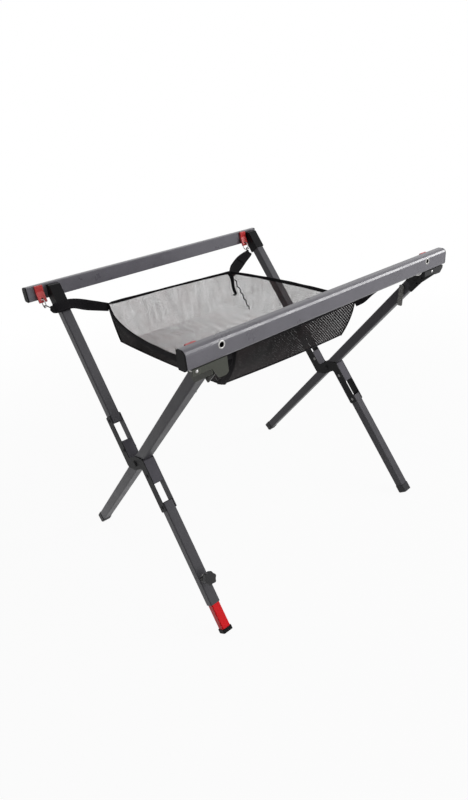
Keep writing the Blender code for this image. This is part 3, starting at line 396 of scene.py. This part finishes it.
zincSteel = platedSteel("zincPlatedSteel", {"dark": "#8f8e8d", "light": "#c4c3c1", "rough": 0.34})
dullSteel = platedSteel("rolledSteelStrip", {"dark": "#565655", "light": "#7b7a78", "rough": 0.45})
blackNylon = mouldedPlastic("blackMouldedNylon", {
    "dark": "#09090a", "light": "#111113", "rubbed": "#29292b", "rough": 0.6, "shine": 0.12})
knobNylon = mouldedPlastic("ribbedBlackNylon", {
    "dark": "#151517", "light": "#202022", "rubbed": "#3b3b3d", "rough": 0.5, "shine": 0.3})
capNylon = mouldedPlastic("darkGreyMouldedNylon", {
    "dark": "#333335", "light": "#3f3f41", "rubbed": "#59595b", "rough": 0.55, "shine": 0.2})
greyNylon = mouldedPlastic("greyMouldedNylon", {
    "dark": "#4b4b4e", "light": "#5c5c60", "rubbed": "#777779", "rough": 0.5, "shine": 0.35})
dullNylon = mouldedPlastic("lavenderGreyMouldedNylon", {
    "dark": "#4b4950", "light": "#57555c", "rubbed": "#6c6a71", "rough": 0.55, "shine": 0.25})
redNylon = mouldedPlastic("redMouldedNylon", {
    "dark": "#c32a2c", "light": "#de3a3a", "rubbed": "#e86a66", "rough": 0.38, "shine": 0.5,
    "glow": 0.15})
redPaint = powderCoat("redPowderCoat", {
    "dark": "#e80c18", "light": "#f6141f", "rubbed": "#f04044", "rough": 0.36, "shine": 0.15,
    "pebble": 0.12})
blackWebbing = wovenWebbing("blackPolyesterWebbing", {
    "dark": "#0d0c0e", "light": "#1b191c", "thread": "#2e2c30", "row": 0.0095})
blackBinding = wovenWebbing("blackSewnBinding", {
    "dark": "#0c0b0d", "light": "#171518", "thread": "#29272b", "row": 0.0032})
# open: the open share at from and at to, which are x on the floor and metres round the rim on a wall;
# the floor's knit is drawn more open towards the far side, so it shows lighter there
openNet = knottedNet("openKnittedNet", {
    "dark": "#3a2b2c", "light": "#664d4d", "pitch": 0.0030, "open": (0.24, 0.43), "from": -0.19,
    "to": 0.12, "uneven": 0.10})
# the near and front walls are drawn with a darker net whose knit closes up, with coarser cells that
# still show: painted shade on these outer walls, which face away from the light
shadedCloseNet = knottedNet("shadedCloseKnittedNet", {
    "dark": "#0f0d0e", "light": "#2a2425", "pitch": 0.0072, "open": (0.012, 0.16), "from": 0.74,
    "to": 0.88, "uneven": 0.09})

finishOf = {"rear_rail": railPaint, "front_rail": railPaint, "front_near_cap": blackNylon,
            "front_far_cap": greyNylon, "rear_near_cap": blackNylon, "rear_far_cap": blackNylon,
            "level_foot": redPaint, "level_foot_cap": blackNylon, "clamp_knob": knobNylon,
            "knob_washer": zincSteel, "far_rear_leg_cap": capNylon}
for label in ("near", "far"):
    for names, finish in ((("rear_leg_upper", "rear_leg_lower", "front_leg"), legPaint),
                          (("hub_plate_outer", "hub_plate_inner", "rear_hook", "front_hook",
                            "pivot_bolt"), blackSheet),
                          (("hub_block_lower", "hub_block_upper"), dullNylon),
                          (("rear_bracket",), blackNylon), (("front_leg_cap",), capNylon),
                          # the far front bracket and far leg strip take the darker copy of the sheet:
                          # painted shade
                          (("front_bracket",), dullSheet if label == "near" else paintedShadeSheet),
                          (("rear_clip", "front_clip"), redNylon), (("leg_stay",), dullSteel),
                          (("leg_strip",), dullSteel if label == "near" else paintedShadeSheet),
                          (("rear_ring", "front_ring"), zincSteel)):
        for name in names:
            finishOf[f"{label}_{name}"] = finish
# through the near hub's window the plate behind it is drawn grey, not black like the other plates:
# painted light on its lit inner face
finishOf["near_hub_plate_inner"] = paintedLightSheet
for name, finish in finishOf.items():
    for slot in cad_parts[name].material_slots:
        slot.material = finish
print("finishes set on", len(finishOf), "solids")


# surfaces from arrays

def gridFaces(rows, columns, closed):
    # four-cornered faces between neighbouring rows and columns; closed joins the last column to column 0
    r, c = np.meshgrid(np.arange(rows - 1), np.arange(columns if closed else columns - 1),
                       indexing="ij")
    after = (c + 1) % columns
    return np.stack((r * columns + c, r * columns + after, (r + 1) * columns + after,
                     (r + 1) * columns + c), -1).reshape(-1, 4)


def addPiece(name, points, faces, finishes, cornerMap=None, finishIndex=None, ends=()):
    # points, quads and end caps into one smooth mesh, with a UV map of metres where it is cloth
    mesh = bpy.data.meshes.new(name)
    allFaces = faces.tolist() + [list(end) for end in ends]
    mesh.from_pydata(points.tolist(), [], allFaces)
    for finish in finishes:
        mesh.materials.append(finish)
    if cornerMap is not None:
        layer = mesh.uv_layers.new(name="cloth")
        extra = sum(len(end) for end in ends)
        layer.data.foreach_set("uv", np.concatenate((cornerMap.reshape(-1), np.zeros(2 * extra))))
    if finishIndex is not None:
        mesh.polygons.foreach_set("material_index", finishIndex)
    mesh.polygons.foreach_set("use_smooth", np.ones(len(allFaces), bool))
    mesh.validate()
    mesh.update()
    made = bpy.data.objects.new(name, mesh)
    scene.collection.objects.link(made)
    return made


def unit(vectors):
    # each vector divided by its own length
    return vectors / np.linalg.norm(vectors, axis=-1, keepdims=True)


def catmullPath(stations, steps):
    # Catmull-Rom: each span is a cubic through its two stations with slopes from their neighbours
    rows = np.array(stations, float)
    padded = np.vstack((rows[:1], rows, rows[-1:]))
    t = np.linspace(0, 1, steps, endpoint=False)[:, None]
    spans = [0.5 * ((2 * b) + (c - a) * t + (2 * a - 5 * b + 4 * c - d) * t ** 2
                    + (3 * b - a - 3 * c + d) * t ** 3)
             for a, b, c, d in zip(padded[:-3], padded[1:-2], padded[2:-1], padded[3:])]
    return np.vstack((*spans, rows[-1:]))


def flatOval(count, squareness):
    # superellipse of half-sizes 1: cosine and sine raised to a power under 1, which squares the corners
    turn = np.linspace(0, math.tau, count, endpoint=False)
    c, s = np.cos(turn), np.sin(turn)
    return np.sign(c) * np.abs(c) ** squareness, np.sign(s) * np.abs(s) ** squareness


def carried(path, across, widths, thicks, closed=False, count=20, squareness=0.35):
    # a flat oval carried along: path + across * x * width / 2 + (tangent x across) * y * thick / 2;
    # its chart is metres across the strip and along it
    if closed:
        ahead = np.roll(path, -1, 0) - np.roll(path, 1, 0)
    else:
        ahead = np.gradient(path, axis=0)
    ahead = unit(ahead)
    across = unit(across - ahead * np.sum(across * ahead, 1, keepdims=True))
    normal = np.cross(ahead, across)
    x, y = flatOval(count, squareness)
    points = (path[:, None] + across[:, None] * (x[None, :, None] * widths[:, None, None] / 2)
              + normal[:, None] * (y[None, :, None] * thicks[:, None, None] / 2))
    run = np.concatenate(((0,), np.cumsum(np.linalg.norm(np.diff(path, axis=0), axis=1))))
    rows = len(path)
    quads = gridFaces(rows, count, True)
    sideways = x[None] * widths[:, None] / 2
    if closed:
        low = np.arange(count)
        top = (rows - 1) * count
        after = (low + 1) % count
        quads = np.vstack((quads, np.stack((top + low, top + after, after, low), -1)))
        run = np.append(run, run[-1] + np.linalg.norm(path[0] - path[-1]))
        sideways = np.vstack((sideways, sideways[:1]))
    grid = gridFaces(len(run), count, True)
    chart = np.stack((sideways.reshape(-1)[grid], np.repeat(run, count)[grid]), -1)
    ends = () if closed else (tuple(range(count)), tuple(range((rows - 1) * count, rows * count))[::-1])
    return points.reshape(-1, 3), quads[:, ::-1], chart[:, ::-1], ends


def gather(parts):
    # several (points, quads, chart, ends) as one, each part's numbers moved past the earlier points
    points, quads, charts, ends, start = [], [], [], [], 0
    for p, q, chart, end in parts:
        points.append(p)
        quads.append(q + start)
        charts.append(chart)
        ends += [tuple(k + start for k in one) for one in end]
        start += len(p)
    return np.vstack(points), np.vstack(quads), np.vstack(charts), ends


def turned(profile, centre, axis, steps=28):
    # a closed profile (radius, height) turned about the axis through the centre
    axis = unit(np.array(axis, float))
    first = unit(np.cross(axis, (0.3, 0.5, 0.81)))
    second = np.cross(axis, first)
    turn = np.linspace(0, math.tau, steps, endpoint=False)[:, None, None]
    radius, height = np.array(profile, float).T
    points = (np.array(centre) + axis * height[None, :, None]
              + (first * np.cos(turn) + second * np.sin(turn)) * radius[None, :, None])
    count = len(profile)
    r, c = np.meshgrid(np.arange(steps), np.arange(count), indexing="ij")
    r2, c2 = (r + 1) % steps, (c + 1) % count
    quads = np.stack((r * count + c, r * count + c2, r2 * count + c2, r2 * count + c), -1)
    quads = quads.reshape(-1, 4)
    return points.reshape(-1, 3), quads, np.zeros((len(quads), 4, 2)), ()


# net basket
# rim and floor: corners at the near rear, near front, far front and far rear; sag, bow and square: of
# the sides that start there; dip: how far the floor's middle hangs, and belly: the share of it by which
# the floor bulges further; lean: how late the walls turn inwards; cut and area: the flat cloth
tub = {"rim": ((-0.2001, 0.258, 0.649), (-0.2041, -0.235, 0.648), (0.1999, -0.208, 0.630),
               (0.1999, 0.250, 0.635)),
       "rimSag": (0.080, 0.013, 0.0, -0.002), "rimBow": (0.010, 0.014, -0.016, 0.004),
       "rimSquare": (0.4, 1, 1, 1),
       "floor": ((-0.1911, 0.246, 0.543), (-0.1701, -0.142, 0.529), (0.1979, -0.168, 0.531),
                 (0.1949, 0.236, 0.534)),
       "floorBow": (-0.006,) * 4, "dip": 0.010, "belly": 0.3, "crease": 0.0012, "steps": 40, "rows": 24,
       "rings": 20, "lean": 1.6, "ripple": 0.0016, "cut": (0.70, 0.72), "area": 0.307}


def edgeLoop(corners, sag, bow, square=(1, 1, 1, 1)):
    # between two corners: a straight line plus inward bow * 4 t (1 - t), less sag * that to a power
    corners = np.array(corners)
    middle = np.array(tub["rim"]).mean(0)
    t = np.linspace(0, 1, tub["steps"], endpoint=False)[:, None]
    hang = 4 * t * (1 - t)
    sides = []
    for k in range(4):
        start, end = corners[k], corners[(k + 1) % 4]
        inward = unit((middle - (start + end) / 2) * (1, 1, 0))
        sides.append(start + (end - start) * t + inward * bow[k] * hang
                     - np.array((0, 0, 1)) * sag[k] * hang ** square[k])
    return np.vstack(sides)


rimLine = edgeLoop(tub["rim"], tub["rimSag"], tub["rimBow"], tub["rimSquare"])
floorLine = edgeLoop(tub["floor"], (0, 0, 0, 0), tub["floorBow"])
columns = len(rimLine)
column = np.arange(columns)
# level directions from the basket's middle out through each column
outward = unit((rimLine + floorLine) * (0.5, 0.5, 0) - np.append(floorLine.mean(0)[:2], 0))
outward[:, 2] = 0


def wallPoint(down, which=slice(None)):
    # from rim to floor line: down linearly, inwards by down to the power lean, with soft ripples that
    # are the sum of waves of 2, 5 and 9 turns a side and die out at the corners, the rim and the floor
    top, low = rimLine[which], floorLine[which]
    shift = np.concatenate(((low - top)[:, :2] * down ** tub["lean"], (low - top)[:, 2:] * down), 1)
    side = column[which] / tub["steps"]
    ripple = (np.sin(side * math.tau * 2.0 + 0.7) + 0.6 * np.sin(side * math.tau * 5.0 + 2.1)
              + 0.35 * np.sin(side * math.tau * 9.0 + 4.0 * down))
    swell = tub["ripple"] * math.sin(math.pi * min(down, 1.0)) * np.sin(np.pi * (side % 1.0)) ** 0.5
    return top + shift + outward[which] * (ripple * swell)[:, None]


def makeBasket():
    # rings of the floor: its edge line shrunk by a share towards the hanging middle and sunk further by
    # dip * belly * (1 - share squared), with three low creases that turn on their way in
    depth = np.linspace(0, 1, tub["rows"])
    wall = np.stack([wallPoint(down) for down in depth])
    heart = floorLine.mean(0) - (0, 0, tub["dip"])
    share = np.linspace(1, 0, tub["rings"])[1:-1][:, None, None]
    turn = column / columns * math.tau
    crease = tub["crease"] * np.sin(3 * turn + 5.5 * share[..., 0]) * np.sin(np.pi * share[..., 0])
    ground = heart + (floorLine - heart) * share
    ground[..., 2] += -tub["dip"] * tub["belly"] * (1 - share[..., 0] ** 2) + crease
    grid = np.vstack((wall, ground))
    rows = len(grid)
    points = np.vstack((grid.reshape(-1, 3), heart - (0, 0, tub["dip"] * tub["belly"])))
    quads = gridFaces(rows, columns, True)
    # walls: metres round the rim and down the wall; floor: plain x and y
    around = np.append(0, np.cumsum(np.linalg.norm(np.roll(rimLine, -1, 0) - rimLine, axis=1)))
    drop = np.vstack((np.zeros(columns), np.cumsum(np.linalg.norm(np.diff(wall, axis=0), axis=2), 0)))
    r, c = np.meshgrid(np.arange(rows - 1), np.arange(columns), indexing="ij")
    corners = ((r, c), (r, c + 1), (r + 1, c + 1), (r + 1, c))
    dropWide = np.hstack((drop, drop[:, :1]))
    gridWide = np.concatenate((grid, grid[:, :1]), 1)
    lastWall = len(wall) - 1
    onWall = r < lastWall
    chart = np.stack([np.stack((np.where(onWall, around[b], gridWide[a, b, 0]),
                                np.where(onWall, dropWide[np.minimum(a, lastWall), b],
                                         gridWide[a, b, 1])), -1)
                      for a, b in corners], 2).reshape(-1, 4, 2)
    side = c // tub["steps"]
    # the near and front walls take the darker net: painted shade
    shadedCloseKnit = (onWall & (side < 2)).reshape(-1).astype(np.int32)
    last = (rows - 1) * columns
    fan = [(last + k, last + (k + 1) % columns, len(points) - 1) for k in range(columns)]
    fanChart = points[np.array(fan)][..., :2]
    made = addPiece("basket_net", points, quads, (openNet, shadedCloseNet), chart,
                    np.concatenate((shadedCloseKnit, np.zeros(len(fan), np.int32))), fan)
    flat = np.concatenate((chart.reshape(-1), fanChart.reshape(-1)))
    made.data.uv_layers["cloth"].data.foreach_set("uv", flat)
    triangles = np.vstack((quads[:, (0, 1, 2)], quads[:, (0, 2, 3)], fan))
    a, b, c = (points[triangles[:, k]] for k in range(3))
    area = 0.5 * np.linalg.norm(np.cross(b - a, c - a), axis=1).sum()
    print("net basket made, cloth area", round(float(area), 4))
    return made


# rimWide: at the near rear, near front, far front and far rear corners and halfway between them;
# rimDrop: the share of its width by which the tape's middle hangs under the rim; seamTilt: how steeply
# the seam's tape stands; cornerDrift: columns by which a corner's tape has strayed at its foot;
# a lift: how far off the net
tape = {"rimWide": (0.0075, 0.0160, 0.0120, 0.0085, 0.0085, 0.0090, 0.0075, 0.0050), "rimDrop": 0.25,
        "rimThick": 0.0036, "rimLift": 0.0004, "seamWide": 0.0060, "seamThick": 0.0024,
        "seamLift": 0.0008, "seamTilt": 0.8, "cornerWide": (0.0080, 0.0180, 0.0090, 0.0030),
        "cornerThick": 0.0020, "cornerLift": 0.0010, "cornerDrift": (0, 0, 0, -6), "cornerRows": 26}


def makeTapes():
    # bindings sewn on the net: one over the rim, one along the floor's edge and one down each corner
    up = np.tile((0.0, 0.0, 1.0), (columns, 1))
    # the rim's tape wavers by up to a tenth in width and thickness, as the sum of two sines
    wave = 1 + 0.06 * np.sin(column * 0.9) + 0.05 * np.sin(column * 0.37 + 1.0)
    wide = np.interp(column / tub["steps"], np.arange(9) / 2, tape["rimWide"] + tape["rimWide"][:1])
    rimTape = carried(rimLine + outward * tape["rimLift"] - up * wide[:, None] * tape["rimDrop"], up,
                      wide * wave, tape["rimThick"] * wave, closed=True)
    # the photograph shows the floor seam on the near and front sides only
    count = 2 * tub["steps"] + 1
    seam = carried(floorLine[:count] + outward[:count] * tape["seamLift"],
                   (outward + up * tape["seamTilt"])[:count],
                   np.full(count, tape["seamWide"]), np.full(count, tape["seamThick"]))
    parts = [rimTape, seam]
    downs = np.linspace(0.02, 1.0, tape["cornerRows"])
    for k, wide in enumerate(tape["cornerWide"]):
        which = np.round(k * tub["steps"] + tape["cornerDrift"][k] * downs).astype(int) % columns
        path = np.vstack([wallPoint(down, which[i:i + 1]) for i, down in enumerate(downs)])
        path += outward[which] * tape["cornerLift"]
        along = rimLine[(k * tub["steps"] + 1) % columns] - rimLine[k * tub["steps"] - 1]
        across = np.tile(unit(along * (1, 1, 0)), (len(path), 1))
        parts.append(carried(path, across, np.full(len(path), wide),
                             np.full(len(path), tape["cornerThick"])))
    points, quads, chart, ends = gather(parts)
    return addPiece("basket_binding", points, quads, (blackBinding,), chart, ends=ends)


basketNet = makeBasket()
basketBinding = makeTapes()
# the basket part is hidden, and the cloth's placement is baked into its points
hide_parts("basket")
for cloth in (basketNet, basketBinding):
    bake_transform(cloth)

# straps, each with its end folded back round the hook and sewn
# stations from the hook to the basket: place, across, width, thickness
strapRuns = {
    "near_rear": ((-0.3401, 0.2790, 0.6720, 0.000, 0.573, 0.819, 0.0110, 0.0060),
                  (-0.3378, 0.2694, 0.6701, 0.000, 0.573, 0.819, 0.0185, 0.0038),
                  (-0.3312, 0.2607, 0.6736, 0.000, 0.573, 0.819, 0.0260, 0.0016),
                  (-0.2942, 0.2607, 0.6736, 0.000, 0.573, 0.819, 0.0260, 0.0016),
                  (-0.2501, 0.2592, 0.6570, 0.000, 0.000, 1.000, 0.0260, 0.0016),
                  (-0.2007, 0.2580, 0.6385, 0.000, 0.000, 1.000, 0.0210, 0.0016)),
    "near_front": ((-0.3401, -0.2790, 0.6720, 0.000, -0.673, 0.740, 0.0110, 0.0060),
                   (-0.3378, -0.2694, 0.6701, 0.000, -0.673, 0.740, 0.0185, 0.0038),
                   (-0.3315, -0.2679, 0.6642, 0.000, -0.673, 0.740, 0.0260, 0.0016),
                   (-0.2945, -0.2679, 0.6642, 0.000, -0.673, 0.740, 0.0260, 0.0016),
                   (-0.2501, -0.2530, 0.6498, 0.000, 0.000, 1.000, 0.0260, 0.0016),
                   (-0.2046, -0.2352, 0.6375, 0.000, 0.000, 1.000, 0.0210, 0.0016)),
    "far_rear": ((0.3009, 0.2790, 0.6690, 0.000, 0.800, 0.600, 0.0110, 0.0060),
                 (0.2960, 0.2709, 0.6656, 0.000, 0.800, 0.600, 0.0215, 0.0038),
                 (0.2649, 0.2680, 0.6540, 0.000, 0.800, 0.600, 0.0320, 0.0016),
                 (0.2299, 0.2585, 0.6380, 0.000, 0.700, 0.710, 0.0320, 0.0016),
                 (0.2005, 0.2502, 0.6245, 0.000, 0.000, 1.000, 0.0210, 0.0016)),
    "far_front": ((0.3009, -0.2790, 0.6690, 0.450, 0.640, -0.350, 0.0110, 0.0060),
                  (0.2960, -0.2709, 0.6656, 0.450, 0.640, -0.350, 0.0185, 0.0038),
                  (0.2649, -0.2560, 0.6560, 0.450, 0.640, -0.350, 0.0260, 0.0016),
                  (0.2299, -0.2300, 0.6380, 0.400, 0.560, 0.100, 0.0260, 0.0016),
                  (0.2004, -0.2084, 0.6195, 0.000, 0.000, 1.000, 0.0210, 0.0016))}
# foldFrom and foldTo: shares of the strap's stations between which the sewn flap lies on it
strapLook = {"steps": 12, "foldFrom": 0.05, "foldTo": 0.58, "flapLift": 0.0009, "flapWide": 0.97,
             "flapThick": 0.0016}


def makeStrap(corner, stations):
    # a ribbon through the stations; the flap lies off it by half its thickness and flapLift, on the
    # side that looks into the table: forwards and a little up at the rear, the reverse at the front
    run = catmullPath(stations, strapLook["steps"])
    path, across, widths, thicks = run[:, :3], run[:, 3:6], run[:, 6], run[:, 7]
    place = np.linspace(0, 1, len(run))
    body = carried(path, across, widths, thicks)
    folded = (place >= strapLook["foldFrom"]) & (place <= strapLook["foldTo"])
    lift = (thicks[folded] / 2 + strapLook["flapLift"])[:, None]
    ahead = unit(np.gradient(path, axis=0))
    normal = np.cross(ahead, unit(across))[folded]
    inner = np.array((0, -1, 0.3)) * (1 if "rear" in corner else -1)
    side = 1.0 if (normal @ inner).mean() > 0 else -1.0
    flap = carried(path[folded] + normal * lift * side, across[folded],
                   widths[folded] * strapLook["flapWide"],
                   np.full(folded.sum(), strapLook["flapThick"]))
    points, quads, chart, ends = gather((body, flap))
    made = addPiece(f"{corner}_webbing", points, quads, (blackWebbing,), chart, ends=ends)
    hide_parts(f"{corner}_strap")
    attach(made, "rear_side" if "rear" in corner else "front_side")


for corner, stations in strapRuns.items():
    makeStrap(corner, stations)


tail = {"top": (0.1875, 0.2390, 0.6350), "reach": (0.010, -0.016, -0.072),
        "across": (0.79, -0.61, 0.0), "twist": 0.25, "sway": 0.003, "curlFrom": 0.84, "curlBack": 0.09,
        "liftFrom": 0.86, "curlUp": 0.06, "wide": 0.0100, "taper": 0.15, "thick": 0.0018, "steps": 34}


def makeTail():
    # loose strap end at the far rear corner, hanging inside the basket: top + s * reach, plus a sine for
    # its sway, and near the tip a straight run to the near side and up for its curl
    s = np.linspace(0, 1, tail["steps"])[:, None]
    path = np.array(tail["top"]) + s * tail["reach"] + np.sin(7 * s) * (tail["sway"], 0, 0)
    path = path + np.clip(s - tail["curlFrom"], 0, 1) * (-tail["curlBack"], 0, 0)
    path = path + np.clip(s - tail["liftFrom"], 0, 1) * (0, 0, tail["curlUp"])
    across = np.array(tail["across"]) + np.sin(3 * s) * (0, 0, tail["twist"])
    points, quads, chart, ends = carried(path, across, tail["wide"] * (1 - tail["taper"] * s[:, 0]),
                                         np.full(len(s), tail["thick"]))
    made = addPiece("far_rear_tail", points, quads, (blackWebbing,), chart, ends=ends)
    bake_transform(made)


makeTail()
print("straps and bindings made")

# eyelets round the rail holes; stand: how far they stand off, sink: how far they reach in
eyelet = {"places": (-0.30306, 0.29294), "height": 0.712, "face": 0.3363, "inner": 0.0046,
          "outer": 0.0074, "sink": 0.0018, "stand": 0.0007, "innerSlope": 0.0006, "outerSlope": 0.0009}


def makeEyelets(name, face, body):
    # a ring's section turned about the hole: flat on top, its edges sloped, closed through the sheet
    e = eyelet
    top = e["stand"]
    profile = ((e["inner"], -e["sink"]), (e["inner"], top * 0.3), (e["inner"] + e["innerSlope"], top),
               (e["outer"] - e["outerSlope"], top), (e["outer"], top * 0.2), (e["outer"], -e["sink"]))
    parts = [turned(profile, (x, face * e["face"], e["height"]), (0, face, 0)) for x in e["places"]]
    points, quads, chart, ends = gather(parts)
    made = addPiece(name, points, quads, (zincSteel,))
    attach(made, body)


# pin heads at the front brackets' ends, and rivet heads on the hub plates
dome = {"crown": 0.04, "rise": 0.0003, "sink": 0.0004, "steps": 18}


def domeProfile(head):
    # a low dome: height falls with the square of the radius; a small flat crown closes it
    share = np.linspace(dome["crown"], 1, head["rings"])
    top = [(head["radius"] * r, head["high"] * (1 - r ** 2) + dome["rise"]) for r in share]
    return [(head["radius"] * dome["crown"], -dome["sink"])] + top + [(head["radius"], -dome["sink"])]


pin = {"places": {"near": -0.357, "far": 0.3175}, "face": -0.3345, "height": 0.6835, "radius": 0.0031,
       "high": 0.0016, "rings": 6}


def makePin(label, x):
    # the bright head that the photograph shows at the bracket's end: a dome that looks forwards
    points, quads, chart, ends = turned(domeProfile(pin), (x, pin["face"], pin["height"]), (0, -1, 0),
                                        dome["steps"])
    made = addPiece(f"{label}_bracket_pin", points, quads, (zincSteel,))
    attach(made, "front_side")


for label, x in pin["places"].items():
    makePin(label, x)
makeEyelets("rear_eyelets", 1, "rear_side")
makeEyelets("front_eyelets", -1, "front_side")

# the rear legs' own frame: angle about X and splay about Y in radians, from the hub's pivot
legFrame = {"splay": math.radians(1.87), "angle": 0.96040955, "pivotY": 0.0061, "pivotZ": 0.3405,
            "nearX": -0.32356, "farX": 0.35344}
# places: along the leg and off it; plate: from the leg's middle to a plate's outer face; reach: how far
# out lies the second point that gives a head its axis
rivet = {"places": ((0.0398, -0.027), (-0.0389, 0.0336), (-0.1189, 0.0359), (0.119, -0.034)),
         "radius": 0.0047, "high": 0.0021, "plate": 0.0150, "reach": 0.01, "rings": 7}


def onRearLeg(side, local):
    # a point (x, along, off) of a rear leg's frame, turned by the angle about X, then the splay about Y
    x, along, off = (np.array(part, float) for part in local)
    c, s = math.cos(legFrame["angle"]), math.sin(legFrame["angle"])
    y, z = along * c - off * s, along * s + off * c
    lean = -side * legFrame["splay"]
    x, z = x * math.cos(lean) + z * math.sin(lean), -x * math.sin(lean) + z * math.cos(lean)
    return np.stack((x + legFrame["nearX" if side < 0 else "farX"], y + legFrame["pivotY"],
                     z + legFrame["pivotZ"]), -1)


def makeRivets(label, side):
    # four turned domes on the outer face of each of the hub's two plates
    parts = []
    for way in (-1, 1):
        for along, off in rivet["places"]:
            centre = onRearLeg(side, (way * rivet["plate"], along, off))
            axis = onRearLeg(side, (way * (rivet["plate"] + rivet["reach"]), along, off)) - centre
            parts.append(turned(domeProfile(rivet), centre, axis, dome["steps"]))
    points, quads, chart, ends = gather(parts)
    # the photograph shows dull heads at the far hub and none that stand out at the near one
    finish, slotName = (blackSheet, "black_steel") if side < 0 else (dullSteel, "bare_steel")
    made = addPiece(f"{label}_hub_rivets", points, quads, (finish,))
    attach(made, "rear_side")


makeRivets("near", -1)
makeRivets("far", 1)
print("eyelets, pins and rivets made")

print("scene ready")
